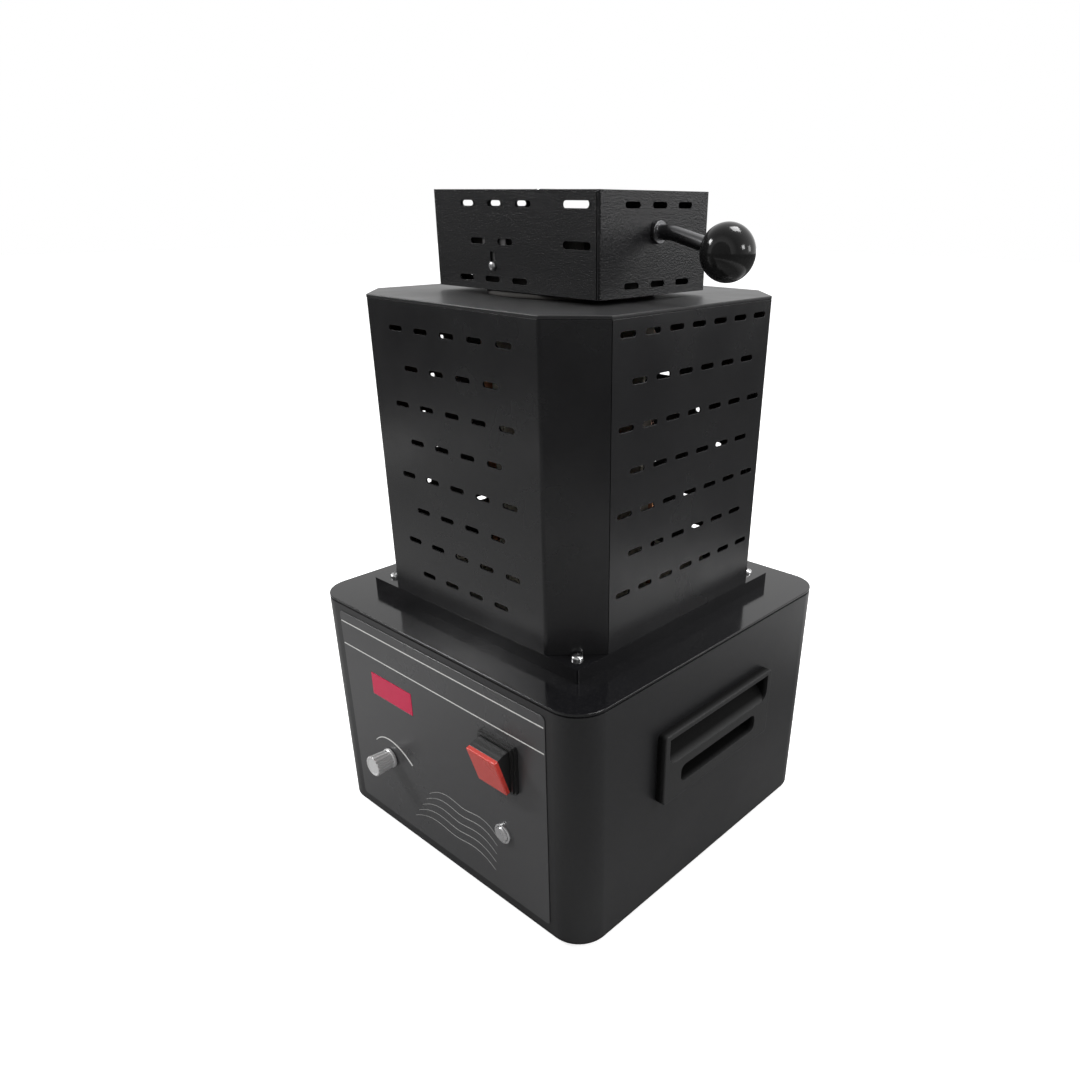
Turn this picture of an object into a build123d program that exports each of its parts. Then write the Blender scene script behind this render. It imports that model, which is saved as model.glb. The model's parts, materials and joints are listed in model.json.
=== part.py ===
from build123d import *
import os
from math import cos, hypot, pi, radians, sin, sqrt

# Electric gold melting furnace: a power case with a slotted octagonal tower and a swinging lid box.
# Frame: millimetres, +Z up, front panel towards -Y, origin on the floor under the case's centre.

# ---------------------------------------------------------------- driving dimensions
CASE_SIDE = 260.0
CASE_CORNER = 22.0
CASE_TOP_Z = 179.5
FOOT_HEIGHT = 6.0
SHEET = 1.5
TOP_PLATE = 2.5
SEAM_HEIGHT = 0.8
TOWER_HOLE_R = 70.0
CASE_FLANGE = 15.0
FLANGE_CORNER = 8.0
SCREW_R = 2.0
SCREW_HOLE_R = 2.2
CLOSE_HOLE_R = 2.1
FOOT_INSET = 30.0
FOOT_TOP_R = 11.0
FOOT_LOW_R = 9.5
FOOT_SINK_R = 5.0

BASE_HALF = 100.5
BASE_HEIGHT = 9.2
BASE_SCREW_AT = 90.0

TOWER_HALF = 100.0
TOWER_CUT = 26.3
TOWER_TOP_Z = 380.0
TOWER_PLATE = 2.0
TOWER_SHEET = 1.2
FOLD_R = 4.0
RETURN_FLANGE = 6.0

SLOT_LENGTH = 12.5
SLOT_HEIGHT = 3.6
FRONT_SLOT_PITCH = 23.6
FRONT_ROW_PITCH = 22.1
FRONT_TOP_ROW_Z = 363.0
FRONT_ROWS = 8
FRONT_WIDE_ROW = 5
SIDE_SLOT_PITCH = 20.4
SIDE_ROW_PITCH = 24.3
SIDE_TOP_ROW_Z = 370.0
SIDE_ROWS = 7
SIDE_WIDE_ROW = 7

LID_LEFT_X = -71.5
LID_RIGHT_X = 67.5
LID_FRONT_Y = -49.5
LID_REAR_Y = 47.5
LID_LOW_Z = 382.7
LID_TOP_Z = 437.0
LID_SHEET = 1.2
LID_EDGE_R = 1.5
LID_SLOT_HEIGHT = 4.2
LID_ROW_Z = (430.4, 410.4, 389.9)
LID_SLOT_PITCH = 23.5
LID_FRONT_STARTS = (-35.2, -27.7, -39.7)
LID_FRONT_COUNTS = (3, 2, 3)
LONG_SLOT = 20.5
LONG_SLOT_X = 51.3
END_SLOT_Y = 2.0
REAR_WINDOW = 27.0
REAR_WINDOW_X = -41.5
STRAP_X = -17.2
STRAP_SLOT_Z = 399.4
STRAP_SCREW_Z = 396.4
STRAP_SCREW_R = 1.5
STRAP_SLOT = (3.6, 10.0)
BLOCK = (92.0, 84.0)
BLOCK_STEP = (86.0, 76.0)
BLOCK_X = 2.0
BLOCK_TOP_Z = 418.0

PIVOT_R = 4.0
PIVOT_X = -60.3
PIVOT_Y = 38.8
BUSH_R = 7.0
RUNNING_GAP = 0.05
PIVOT_TAP_R = 2.5
PIVOT_TAP_DEPTH = 15.1

ROD_R = 4.0
ROD_STUD_R = 3.0
ROD_Z = 415.6
ROD_BEND_X = 78.0
BALL_R = 15.0
BALL_X = 115.5
BALL_Z = 407.0

MOUTH_R = 36.0
MOUTH_SEAT_R = 48.0
MOUTH_COLLAR_R = 52.0
MOUTH_RISE = 2.2
CRUCIBLE_R = 33.0
CRUCIBLE_FOOT_R = 29.0
CRUCIBLE_BORE_R = 25.0
CRUCIBLE_LOW_Z = 248.7
CRUCIBLE_TOP_Z = 372.0
SLEEVE_R = 45.0
SLEEVE_BORE_R = 37.0
SLEEVE_LOW_Z = 236.7

COIL_R = 51.0
COIL_TUBE_R = 4.0
COIL_PITCH = 14.0
COIL_LOW_Z = 256.0
COIL_HALF_TURNS = 15
COIL_START_DEG = 45.0
LEAD_BEND_R = 11.0
LEAD_R = 60.0
LEAD_LOW_Z = 73.0
TERMINAL_HEIGHT = 12.0
COMB_IN_R = 47.5
COMB_OUT_R = 64.0
COMB_WIDTH = 9.0

OVERLAY = (206.0, 158.0, 0.5)
OVERLAY_Z = 93.0
OVERLAY_CORNER = 3.0
WINDOW = (46.0, 17.5)
WINDOW_AT = (-49.0, 125.5)
KNOB_AT = (-59.0, 67.6)
KNOB_R = 7.8
KNOB_BASE_R = 6.8
KNOB_SKIRT_R = 7.4
KNOB_REACH = 17.0
KNOB_FACE = 3.0
SHAFT_R = 3.0
KNOB_FLUTES = 16
POT_R = 8.5
POT_DEPTH = 10.0
POT_BUSH_R = 3.5
SWITCH_AT = (62.5, 123.0)
SWITCH_BEZEL = (33.5, 34.6)
SWITCH_BEZEL_PROUD = 2.5
SWITCH_COLLAR = (30.8, 32.8)
SWITCH_COLLAR_PROUD = 4.0
SWITCH_BODY = (28.4, 32.4)
SWITCH_BODY_DEPTH = 22.0
SWITCH_OPENING = (26.6, 30.6)
ROCKER_WIDTH = 26.0
ROCKER_FACE_HALF = 14.3
ROCKER_FACE_OUT = 8.0
ROCKER_LENS = 3.0
ROCKER_END_R = 14.7
ROCKER_WAIST_OUT = 3.5
ROCKER_BACK = 6.0
ROCKER_PIN_R = 1.2
ROCKER_PIVOT_OUT = 4.2
ROCKER_TILT = 17.0
BUTTON_AT = (62.6, 66.8)
BUTTON_R = 5.3
BUTTON_PROUD = 3.5
BUTTON_BEZEL_R = 7.25
BUTTON_BEZEL_PROUD = 2.0
BUTTON_BARREL_R = 6.0
BUTTON_BARREL = 18.0
BUTTON_END = 4.0

GRIP_LENGTH = 120.0
GRIP_LOW_Z = 86.0
GRIP_HIGH_Z = 138.0
GRIP_PROUD = 6.5
GRIP_CORNER = 3.0
GRIP_WALL = 2.0
GRIP_EDGE = 0.7
GRIP_SLOT_LENGTH = 85.0
GRIP_SLOT_Z = (95.5, 108.5)
GRIP_SLOT_END_R = 4.5
GRIP_POCKET = 24.0
SCOOP_LENGTH = 111.0
SCOOP_Z = (115.0, 134.5)
SCOOP_DEPTH = 18.0
SCOOP_SILL = (6.0, 4.0)
SCOOP_CORNER = 7.0

FAN_SIDE = 92.0
FAN_DEPTH = 25.0
FAN_AT = (-40.0, 95.0)
FAN_HOLE_PITCH = 82.5
FAN_BLADES = 7
FAN_HUB_R = 16.5
FAN_TIP_R = 41.0
FAN_PIN_R = 2.0
GUARD_WIRE = 2.0
GUARD_THICK = 1.6
GUARD_RINGS = (16.0, 28.0, 40.0)
VENT = (46.0, 4.0)
VENT_AT = (-62.0, 60.0)
VENT_PITCH = 10.0
VENTS = 6
GLAND_AT = (95.0, 36.0)
GLAND_BORE_R = 5.0
GLAND_THREAD_R = 9.0
GLAND_HEX = 22.0
GLAND_REACH = KNOB_REACH

BOARD_TOP_Z = 23.6
BOARD_THICK = 1.6

# ---------------------------------------------------------------- derived places
HALF = CASE_SIDE / 2
INNER = HALF - SHEET
BOTTOM_Z = FOOT_HEIGHT
SHELL_LOW_Z = BOTTOM_Z + SHEET
SHELL_TOP_Z = CASE_TOP_Z - TOP_PLATE
BASE_TOP_Z = CASE_TOP_Z + BASE_HEIGHT
SHROUD_TOP_Z = TOWER_TOP_Z - TOWER_PLATE
PIVOT_NUT_Z = SHROUD_TOP_Z - 6.5
SUPPORT_TOP_Z = BASE_TOP_Z + 8.0
PANEL_Y = -HALF - OVERLAY[2]
SLEEVE_TOP_Z = SHROUD_TOP_Z - 4.3
FOLD_EDGE = TOWER_HALF - TOWER_CUT


# ---------------------------------------------------------------- small builders
def slab(width, depth, low, high, corner=0.0):
    """Upright prism on a rectangle, with rounded upright edges if a corner radius is given."""
    outline = RectangleRounded(width, depth, corner) if corner else Rectangle(width, depth)
    return Pos(0, 0, low) * extrude(outline, high - low)


def block(x, y, z):
    """Box between the given pairs of limits."""
    size = Box(x[1] - x[0], y[1] - y[0], z[1] - z[0])
    return Pos((x[0] + x[1]) / 2, (y[0] + y[1]) / 2, (z[0] + z[1]) / 2) * size


def drum(radius, low, high, x=0.0, y=0.0):
    """Upright cylinder from low to high."""
    return Pos(x, y, (low + high) / 2) * Cylinder(radius, high - low)


def plug(radius, front, back, place):
    """Cylinder along Y between two Y values, at a panel place (x, z)."""
    turned = Rot(90, 0, 0) * Cylinder(radius, abs(back - front))
    return Pos(place[0], (front + back) / 2, place[1]) * turned


def panel_block(size, front, back, place):
    """Box on the front panel: size is its width and height, place its centre (x, z)."""
    return Pos(place[0], (front + back) / 2, place[1]) * Box(size[0], back - front, size[1])


def hexagon(across, low, high, x=0.0, y=0.0):
    """Upright hexagonal nut blank."""
    outline = RegularPolygon(across / sqrt(3), 6)
    return Pos(x, y, low) * extrude(outline, high - low)


def pan_screw(head_r, head_h, shank_r, shank):
    """Pan-head screw that points down from the origin, one turned profile."""
    rim = 0.4 * head_h
    crown = 0.5 * head_r
    profile = Polyline(
        (0, -shank),
        (shank_r, -shank),
        (shank_r, 0),
        (head_r, 0),
        (head_r, rim),
        (crown, head_h),
        (0, head_h),
        (0, -shank),
    )
    return revolve(Plane.XZ * make_face(profile), Axis.Z)


def outward(screw, x, z, y, toward=1):
    """Lay a downward screw on its side, with its head towards +Y or -Y."""
    return Pos(x, y, z) * Rot(-90 * toward, 0, 0) * screw


def row_places(centres_per_row, pitch, row_z):
    """Places (along, z) of slots centred on the middle of one row."""
    first = -(centres_per_row - 1) / 2 * pitch
    return [(first + k * pitch, row_z) for k in range(centres_per_row)]


def staggered_places(wide, pitch, rows, row_pitch, top_z):
    """Rows of slots, each second row one slot shorter."""
    places = []
    for row in range(rows):
        places += row_places(wide - row % 2, pitch, top_z - row * row_pitch)
    return places


def slots_through(places, length, height, plane, reach):
    """Solid slot cutters, reach to both sides of a plane whose local Y points up."""
    cutters = []
    for along, up in places:
        outline = plane * Pos(along, up) * Rectangle(length, height)
        cutters.append(extrude(outline, reach, both=True))
    return cutters


def save(name, *solids):
    """Write one named piece, or one group of like pieces, as a STEP file."""
    shape = solids[0] if len(solids) == 1 else Compound(children=list(solids))
    export_step(shape, os.path.join("parts", name + ".step"))


FRONT_WALL = Plane(origin=(0, -TOWER_HALF, 0), x_dir=(1, 0, 0), z_dir=(0, -1, 0))
REAR_WALL = Plane(origin=(0, TOWER_HALF, 0), x_dir=(-1, 0, 0), z_dir=(0, 1, 0))
CORNERS = ((1, -1), (1, 1), (-1, 1), (-1, -1))


# ---------------------------------------------------------------- power case
def grip_opening(side):
    """Cut-out in the case's side wall for the pockets behind a grip."""
    slack = 0.3
    half = SCOOP_LENGTH / 2 + GRIP_WALL + slack
    near = side * (HALF + 1)
    far = side * (INNER - 1)
    low = GRIP_SLOT_Z[0] - GRIP_WALL - slack
    high = SCOOP_Z[1] + GRIP_WALL + slack
    return block((min(near, far), max(near, far)), (-half, half), (low, high))


def case_shell():
    """Wrapped sheet of four walls, with a return flange along the bottom edge."""
    outer = slab(CASE_SIDE, CASE_SIDE, SHELL_LOW_Z, SHELL_TOP_Z, CASE_CORNER)
    hollow = slab(2 * INNER, 2 * INNER, SHELL_LOW_Z + SHEET, SHELL_TOP_Z, CASE_CORNER - SHEET)
    mouth_side = 2 * (INNER - CASE_FLANGE)
    mouth = slab(mouth_side, mouth_side, SHELL_LOW_Z, SHELL_LOW_Z + SHEET, FLANGE_CORNER)
    cutters = panel_openings() + rear_openings() + [grip_opening(1), grip_opening(-1)]
    cutters += [drum(SCREW_HOLE_R, 0, SHELL_LOW_Z + 2 * SHEET, x, y) for x, y in foot_places()]
    return outer - hollow - mouth - cutters


def panel_openings():
    """Cut-outs that the front wall and its overlay share."""
    front = PANEL_Y - 1
    back = -INNER + 1
    slack = 0.2
    return [
        panel_block(WINDOW, front, back, WINDOW_AT),
        panel_block((SWITCH_BODY[0] + 2 * slack, SWITCH_BODY[1] + 2 * slack), front, back, SWITCH_AT),
        plug(POT_BUSH_R + slack, front, back, KNOB_AT),
        plug(BUTTON_BARREL_R + slack, front, back, BUTTON_AT),
    ]


def rear_openings():
    """Cut-outs of the rear wall: the fan and its screws, the cord gland and a column of vents."""
    outside = HALF + 1
    inside = INNER - 1
    cutters = [plug(FAN_SIDE / 2 - 3, outside, inside, FAN_AT)]
    cutters.append(plug(GLAND_THREAD_R + 0.2, outside, inside, GLAND_AT))
    cutters += [plug(SCREW_HOLE_R, outside, inside, place) for place in fan_screw_places()]
    rear = Plane(origin=(0, HALF, 0), x_dir=(-1, 0, 0), z_dir=(0, 1, 0))
    vents = [(VENT_AT[0], VENT_AT[1] + VENT_PITCH * k) for k in range(VENTS)]
    return cutters + slots_through(vents, VENT[0], VENT[1], rear, 3)


def case_top_plate():
    """Flat top with a shallow step under its rim, which shows as a dark seam, and a hole under the tower."""
    set_back = 1.0
    step_side = CASE_SIDE - 2 * set_back
    step = slab(step_side, step_side, SHELL_TOP_Z, SHELL_TOP_Z + SEAM_HEIGHT, CASE_CORNER - set_back)
    plate = slab(CASE_SIDE, CASE_SIDE, SHELL_TOP_Z + SEAM_HEIGHT, CASE_TOP_Z, CASE_CORNER)
    plate = chamfer(plate.edges().group_by(Axis.Z)[-1], 0.6)
    top = step + plate - drum(TOWER_HOLE_R, SHELL_TOP_Z, CASE_TOP_Z)
    return top - [drum(CLOSE_HOLE_R, SHELL_TOP_Z, CASE_TOP_Z, x, y) for x, y in base_screw_places()]


def foot_places():
    """Feet, inset from the corners of the bottom."""
    inset = HALF - FOOT_INSET
    return [(sx * inset, sy * inset) for sx, sy in CORNERS]


def bottom_plate():
    """Flat bottom under the shell's flange."""
    plate = slab(CASE_SIDE, CASE_SIDE, BOTTOM_Z, SHELL_LOW_Z, CASE_CORNER)
    return plate - [drum(SCREW_HOLE_R, BOTTOM_Z, SHELL_LOW_Z, x, y) for x, y in foot_places()]


def rubber_foot(x, y):
    """Tapered rubber foot with a countersunk hole for its screw."""
    outline = Polyline(
        (SCREW_HOLE_R, FOOT_HEIGHT),
        (FOOT_TOP_R, FOOT_HEIGHT),
        (FOOT_LOW_R, 0),
        (FOOT_SINK_R, 0),
        (FOOT_SINK_R, FOOT_HEIGHT / 2),
        (SCREW_HOLE_R, FOOT_HEIGHT / 2),
        (SCREW_HOLE_R, FOOT_HEIGHT),
    )
    return Pos(x, y, 0) * revolve(Plane.XZ * make_face(outline), Axis.Z)


def foot_screw(x, y):
    """Screw that points up through a foot into the flange."""
    screw = pan_screw(head_r=4.2, head_h=2.2, shank_r=SCREW_R, shank=10)
    return Pos(x, y, FOOT_HEIGHT / 2) * Rot(180, 0, 0) * screw


def grip(side):
    """Moulded side grip: raised plate, a deep scoop under its upper lip and a slot into a closed pocket."""
    outer = HALF + GRIP_PROUD
    face = Plane(origin=(HALF, 0, 0), x_dir=(0, 1, 0), z_dir=(1, 0, 0))
    middle_z = (GRIP_LOW_Z + GRIP_HIGH_Z) / 2
    outline = RectangleRounded(GRIP_LENGTH, GRIP_HIGH_Z - GRIP_LOW_Z, GRIP_CORNER)
    plate = extrude(face * Pos(0, middle_z) * outline, GRIP_PROUD)
    plate = chamfer(plate.faces().sort_by(Axis.X)[-1].edges(), GRIP_EDGE)
    low, high = GRIP_SLOT_Z
    half = GRIP_SLOT_LENGTH / 2 + GRIP_WALL
    pocket = block((HALF - GRIP_POCKET, HALF), (-half, half), (low - GRIP_WALL, high + GRIP_WALL))
    mouth = Pos(0, (low + high) / 2) * RectangleRounded(GRIP_SLOT_LENGTH, high - low, GRIP_SLOT_END_R)
    slot = Pos(GRIP_WALL - GRIP_POCKET, 0, 0) * extrude(face * mouth, GRIP_POCKET + GRIP_PROUD)
    moulding = plate + pocket + scoop_back(outer) - slot - grip_scoop(outer)
    return moulding if side > 0 else mirror(moulding, Plane.YZ)


def scoop_back(outer):
    """Wedge-shaped housing behind the scoop, inside the case."""
    low, high = SCOOP_Z
    back = outer - SCOOP_DEPTH - GRIP_WALL
    root = low + SCOOP_SILL[1] - 1.5 * GRIP_WALL
    wedge = Polyline(
        (HALF, root),
        (HALF, high + GRIP_WALL),
        (back, high + GRIP_WALL),
        (back, high - GRIP_WALL / 2),
        (HALF, root),
    )
    return extrude(Plane.XZ * make_face(wedge), SCOOP_LENGTH / 2 + GRIP_WALL, both=True)


def grip_scoop(outer):
    """Hollow with a short sill and a steep back, deepest under the lip, its lower corners rounded."""
    low, high = SCOOP_Z
    sill_depth, sill_rise = SCOOP_SILL
    ahead = outer + 2
    wedge = Polyline(
        (outer, low),
        (ahead, low),
        (ahead, high),
        (outer - SCOOP_DEPTH, high),
        (outer - sill_depth, low + sill_rise),
        (outer, low),
    )
    hollow = extrude(Plane.XZ * make_face(wedge), SCOOP_LENGTH / 2, both=True)
    window = Plane(origin=(HALF - GRIP_POCKET, 0, 0), x_dir=(0, 1, 0), z_dir=(1, 0, 0))
    outline = Pos(0, (low + high) / 2) * Rectangle(SCOOP_LENGTH, high - low)
    outline = fillet(outline.vertices().sort_by(Axis.Y)[:2], SCOOP_CORNER)
    return hollow & extrude(window * outline, GRIP_POCKET + 2 * GRIP_PROUD)


# ---------------------------------------------------------------- front panel
def front_overlay():
    """Thin printed overlay on the front wall."""
    width, height, thick = OVERLAY
    sheet = extrude(RectangleRounded(width, height, OVERLAY_CORNER), thick)
    upright = Plane(origin=(0, -HALF, OVERLAY_Z), x_dir=(1, 0, 0), z_dir=(0, -1, 0))
    return upright * sheet - panel_openings()


def display_window():
    """Red window, flush with the overlay, with a rim behind the front wall."""
    slack = 0.1
    rim_width = 2.5
    rim_thick = 1.5
    pane_size = (WINDOW[0] - 2 * slack, WINDOW[1] - 2 * slack)
    rim_size = (WINDOW[0] + 2 * rim_width, WINDOW[1] + 2 * rim_width)
    pane = panel_block(pane_size, PANEL_Y - 0.2, -INNER, WINDOW_AT)
    return pane + panel_block(rim_size, -INNER, -INNER + rim_thick, WINDOW_AT)


def display_board():
    """Circuit board with three digit blocks behind the window."""
    digit = (12.0, 15.0)
    digit_pitch = 13.5
    digit_front = -INNER + 1.5
    board_front = digit_front + 6
    board = panel_block((56, 30), board_front, board_front + BOARD_THICK, WINDOW_AT)
    places = [(WINDOW_AT[0] + digit_pitch * k, WINDOW_AT[1]) for k in (-1, 0, 1)]
    return board + [panel_block(digit, digit_front, board_front, place) for place in places]


def potentiometer():
    """Round potentiometer behind the wall, with a threaded bush and its nut in front."""
    can = plug(POT_R, -INNER, -INNER + POT_DEPTH, KNOB_AT)
    bush = plug(POT_BUSH_R, PANEL_Y - 4, -INNER, KNOB_AT)
    nut = Pos(KNOB_AT[0], PANEL_Y, KNOB_AT[1]) * Rot(90, 0, 0) * hexagon(across=10, low=0, high=2)
    return can + bush + nut - plug(SHAFT_R + RUNNING_GAP, PANEL_Y - 5, -INNER + POT_DEPTH - 2, KNOB_AT)


def pot_shaft():
    """Shaft that carries the knob."""
    return plug(SHAFT_R, -HALF - KNOB_REACH + KNOB_FACE, -INNER + POT_DEPTH - 3, KNOB_AT)


def knob():
    """Fluted knob, widest at its front, with a narrow skirt and a hollow underneath over the nut."""
    front = -HALF - KNOB_REACH
    skirt_height = 2.0
    flute = 1.1
    back = PANEL_Y - 0.6
    length = back - front
    body = Rot(90, 0, 0) * Cone(KNOB_BASE_R, KNOB_R, length)
    body = Pos(KNOB_AT[0], (front + back) / 2, KNOB_AT[1]) * body
    body = chamfer(body.faces().sort_by(Axis.Y)[0].edges(), 0.8)
    taper = (KNOB_R - KNOB_BASE_R) / length
    middle_r = (KNOB_R + KNOB_BASE_R) / 2
    groove = Rot(0, 0, 180 / pi * taper) * Rot(0, 45, 0) * Box(flute, length, flute)
    groove = Pos(middle_r, (front + back) / 2 - skirt_height - 0.6, 0) * groove
    place = Pos(KNOB_AT[0], 0, KNOB_AT[1])
    flutes = [place * Rot(0, 360 * k / KNOB_FLUTES, 0) * groove for k in range(KNOB_FLUTES)]
    skirt = plug(KNOB_SKIRT_R, back - skirt_height, back, KNOB_AT)
    recess = plug(KNOB_BASE_R - 0.8, back - 4.2, back, KNOB_AT)
    return body - flutes + skirt - recess - plug(SHAFT_R, front + KNOB_FACE, back, KNOB_AT)


def switch_housing():
    """Stepped housing of the rocker switch, proud of the panel, with its body and two blades behind it."""
    collar_front = PANEL_Y - SWITCH_COLLAR_PROUD
    body_back = -HALF + SWITCH_BODY_DEPTH
    bezel = panel_block(SWITCH_BEZEL, PANEL_Y - SWITCH_BEZEL_PROUD, PANEL_Y, SWITCH_AT)
    bezel = chamfer(bezel.faces().sort_by(Axis.Y)[0].edges(), 0.8)
    collar = panel_block(SWITCH_COLLAR, collar_front, PANEL_Y, SWITCH_AT)
    body = panel_block(SWITCH_BODY, PANEL_Y, body_back, SWITCH_AT)
    opening = panel_block(SWITCH_OPENING, collar_front - 1, body_back - 3, SWITCH_AT)
    axle = Rot(0, 90, 0) * Cylinder(ROCKER_PIN_R + RUNNING_GAP, ROCKER_WIDTH + 2.4)
    bearing = Pos(SWITCH_AT[0], -HALF - ROCKER_PIVOT_OUT, SWITCH_AT[1]) * axle
    blade = (6.3, 0.8)
    blade_reach = 8.0
    places = [(SWITCH_AT[0], SWITCH_AT[1] + up) for up in (-9, 9)]
    blades = [panel_block(blade, body_back, body_back + blade_reach, place) for place in places]
    return bezel + collar + body + blades - opening - bearing


def tipped(solid):
    """Put a solid built about the rocker's axis in its place, tipped so that its upper edge stands out."""
    return Pos(SWITCH_AT[0], -HALF - ROCKER_PIVOT_OUT, SWITCH_AT[1]) * Rot(ROCKER_TILT, 0, 0) * solid


def rocker():
    """Rocker body with round ends about its pivot and a flat front that carries the lens."""
    seat = ROCKER_FACE_OUT - ROCKER_LENS
    waist = sqrt(ROCKER_END_R**2 - ROCKER_WAIST_OUT**2)
    back = sqrt(ROCKER_END_R**2 - ROCKER_BACK**2)
    face_line = Polyline(
        (-ROCKER_WAIST_OUT, waist),
        (-seat, ROCKER_FACE_HALF),
        (-seat, -ROCKER_FACE_HALF),
        (-ROCKER_WAIST_OUT, -waist),
    )
    lower_end = ThreePointArc((-ROCKER_WAIST_OUT, -waist), (0, -ROCKER_END_R), (ROCKER_BACK, -back))
    upper_end = ThreePointArc((ROCKER_BACK, back), (0, ROCKER_END_R), (-ROCKER_WAIST_OUT, waist))
    outline = face_line + lower_end + Line((ROCKER_BACK, -back), (ROCKER_BACK, back)) + upper_end
    side = Plane(origin=(0, 0, 0), x_dir=(0, 1, 0), z_dir=(1, 0, 0))
    body = extrude(side * make_face(outline), ROCKER_WIDTH / 2, both=True)
    pins = Rot(0, 90, 0) * Cylinder(ROCKER_PIN_R, ROCKER_WIDTH + 1.6)
    return tipped(body + pins)


def rocker_lens():
    """Coloured lens that covers the rocker's front."""
    lens = block(
        (-ROCKER_WIDTH / 2, ROCKER_WIDTH / 2),
        (-ROCKER_FACE_OUT, ROCKER_LENS - ROCKER_FACE_OUT),
        (-ROCKER_FACE_HALF, ROCKER_FACE_HALF),
    )
    return tipped(chamfer(lens.faces().sort_by(Axis.Y)[0].edges(), 0.5))


def button_bezel():
    """Metal bezel and threaded barrel of the push button."""
    front = PANEL_Y - BUTTON_BEZEL_PROUD
    barrel_end = -HALF + BUTTON_BARREL
    flange = plug(BUTTON_BEZEL_R, front, PANEL_Y, BUTTON_AT)
    flange = chamfer(flange.faces().sort_by(Axis.Y)[0].edges(), 0.6)
    barrel = plug(BUTTON_BARREL_R, PANEL_Y, barrel_end, BUTTON_AT)
    return flange + barrel - plug(BUTTON_R + 2 * RUNNING_GAP, front - 1, barrel_end - BUTTON_END, BUTTON_AT)


def button_nut():
    """Thin hexagonal nut behind the front wall."""
    thick = 3
    nut = Pos(BUTTON_AT[0], -INNER + thick, BUTTON_AT[1]) * Rot(90, 0, 0) * hexagon(15, 0, thick)
    return nut - plug(BUTTON_BARREL_R, -INNER, -INNER + thick, BUTTON_AT)


def button_cap():
    """Cap of the push button, with room behind it for its travel."""
    back = -HALF + BUTTON_BARREL - 2 * BUTTON_END
    cap = plug(BUTTON_R, -HALF - BUTTON_PROUD, back, BUTTON_AT)
    return chamfer(cap.faces().sort_by(Axis.Y)[0].edges(), 0.5)


# ---------------------------------------------------------------- rear wall
def fan_screw_places():
    """The four mounting holes of the fan."""
    half = FAN_HOLE_PITCH / 2
    return [(FAN_AT[0] + sx * half, FAN_AT[1] + sz * half) for sx, sz in CORNERS]


def fan_frame():
    """Square fan frame with a round duct, a motor disc on crossed struts and a bearing pin."""
    front = INNER - FAN_DEPTH
    motor_back = front + 4
    frame = panel_block((FAN_SIDE, FAN_SIDE), front, INNER, FAN_AT)
    frame = fillet(frame.edges().filter_by(Axis.Y), 5)
    frame -= plug(FAN_SIDE / 2 - 2.5, front, INNER, FAN_AT)
    span = FAN_SIDE - 3
    strut = (4, 3)
    level = panel_block((span, strut[0]), front, front + strut[1], (0, 0))
    upright = panel_block((strut[0], span), front, front + strut[1], (0, 0))
    struts = Pos(FAN_AT[0], 0, FAN_AT[1]) * Rot(0, 30, 0) * (level + upright)
    motor = plug(FAN_HUB_R + 0.5, front, motor_back, FAN_AT)
    pin = plug(FAN_PIN_R, motor_back, INNER - 7, FAN_AT)
    holes = [plug(SCREW_HOLE_R, front, INNER, place) for place in fan_screw_places()]
    return frame + struts + motor + pin - holes


def fan_rotor():
    """Hub with twisted blades, each a ruled loft from root to tip."""
    front = INNER - FAN_DEPTH + 4.5
    back = INNER - 3.5
    middle = (front + back) / 2
    hub = plug(FAN_HUB_R, front, back, (0, 0)) - plug(FAN_PIN_R + RUNNING_GAP, front, back - 3, (0, 0))
    root = Plane(origin=(FAN_HUB_R - 0.5, middle, 0), x_dir=(0, 1, 0), z_dir=(1, 0, 0))
    tip = Plane(origin=(FAN_TIP_R, middle, 0), x_dir=(0, 1, 0), z_dir=(1, 0, 0))
    root_face = root * Rot(0, 0, 48) * Rectangle(17, 1.6)
    tip_face = tip * Rot(0, 0, 66) * Rectangle(19, 1.2)
    blade = loft([root_face, tip_face], ruled=True)
    blades = [Rot(0, 360 * k / FAN_BLADES, 0) * blade for k in range(FAN_BLADES)]
    return Pos(FAN_AT[0], 0, FAN_AT[1]) * (hub + blades)


def fan_guard():
    """Finger guard of three rings on crossed spokes, with an ear at each fixing screw."""
    low = HALF + 0.6
    half_wire = GUARD_WIRE / 2
    rings = []
    for radius in GUARD_RINGS:
        disc = plug(radius + half_wire, low, low + GUARD_THICK, FAN_AT)
        rings.append(disc - plug(radius - half_wire, low, low + GUARD_THICK, FAN_AT))
    reach = hypot(FAN_HOLE_PITCH, FAN_HOLE_PITCH)
    spoke = panel_block((reach, GUARD_WIRE), HALF, HALF + GUARD_THICK, (0, 0))
    spokes = [Pos(FAN_AT[0], 0, FAN_AT[1]) * Rot(0, turn, 0) * spoke for turn in (45, 135)]
    ears = [plug(4.6, HALF, HALF + GUARD_THICK, place) for place in fan_screw_places()]
    holes = [plug(CLOSE_HOLE_R, HALF, HALF + GUARD_THICK, place) for place in fan_screw_places()]
    return Part() + rings + spokes + ears - holes


def fan_screws():
    """Screws that hold the guard and the fan to the rear wall."""
    screw = pan_screw(head_r=3.8, head_h=2.4, shank_r=SCREW_R, shank=22)
    return [outward(screw, x, z, HALF + GUARD_THICK) for x, z in fan_screw_places()]


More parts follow.
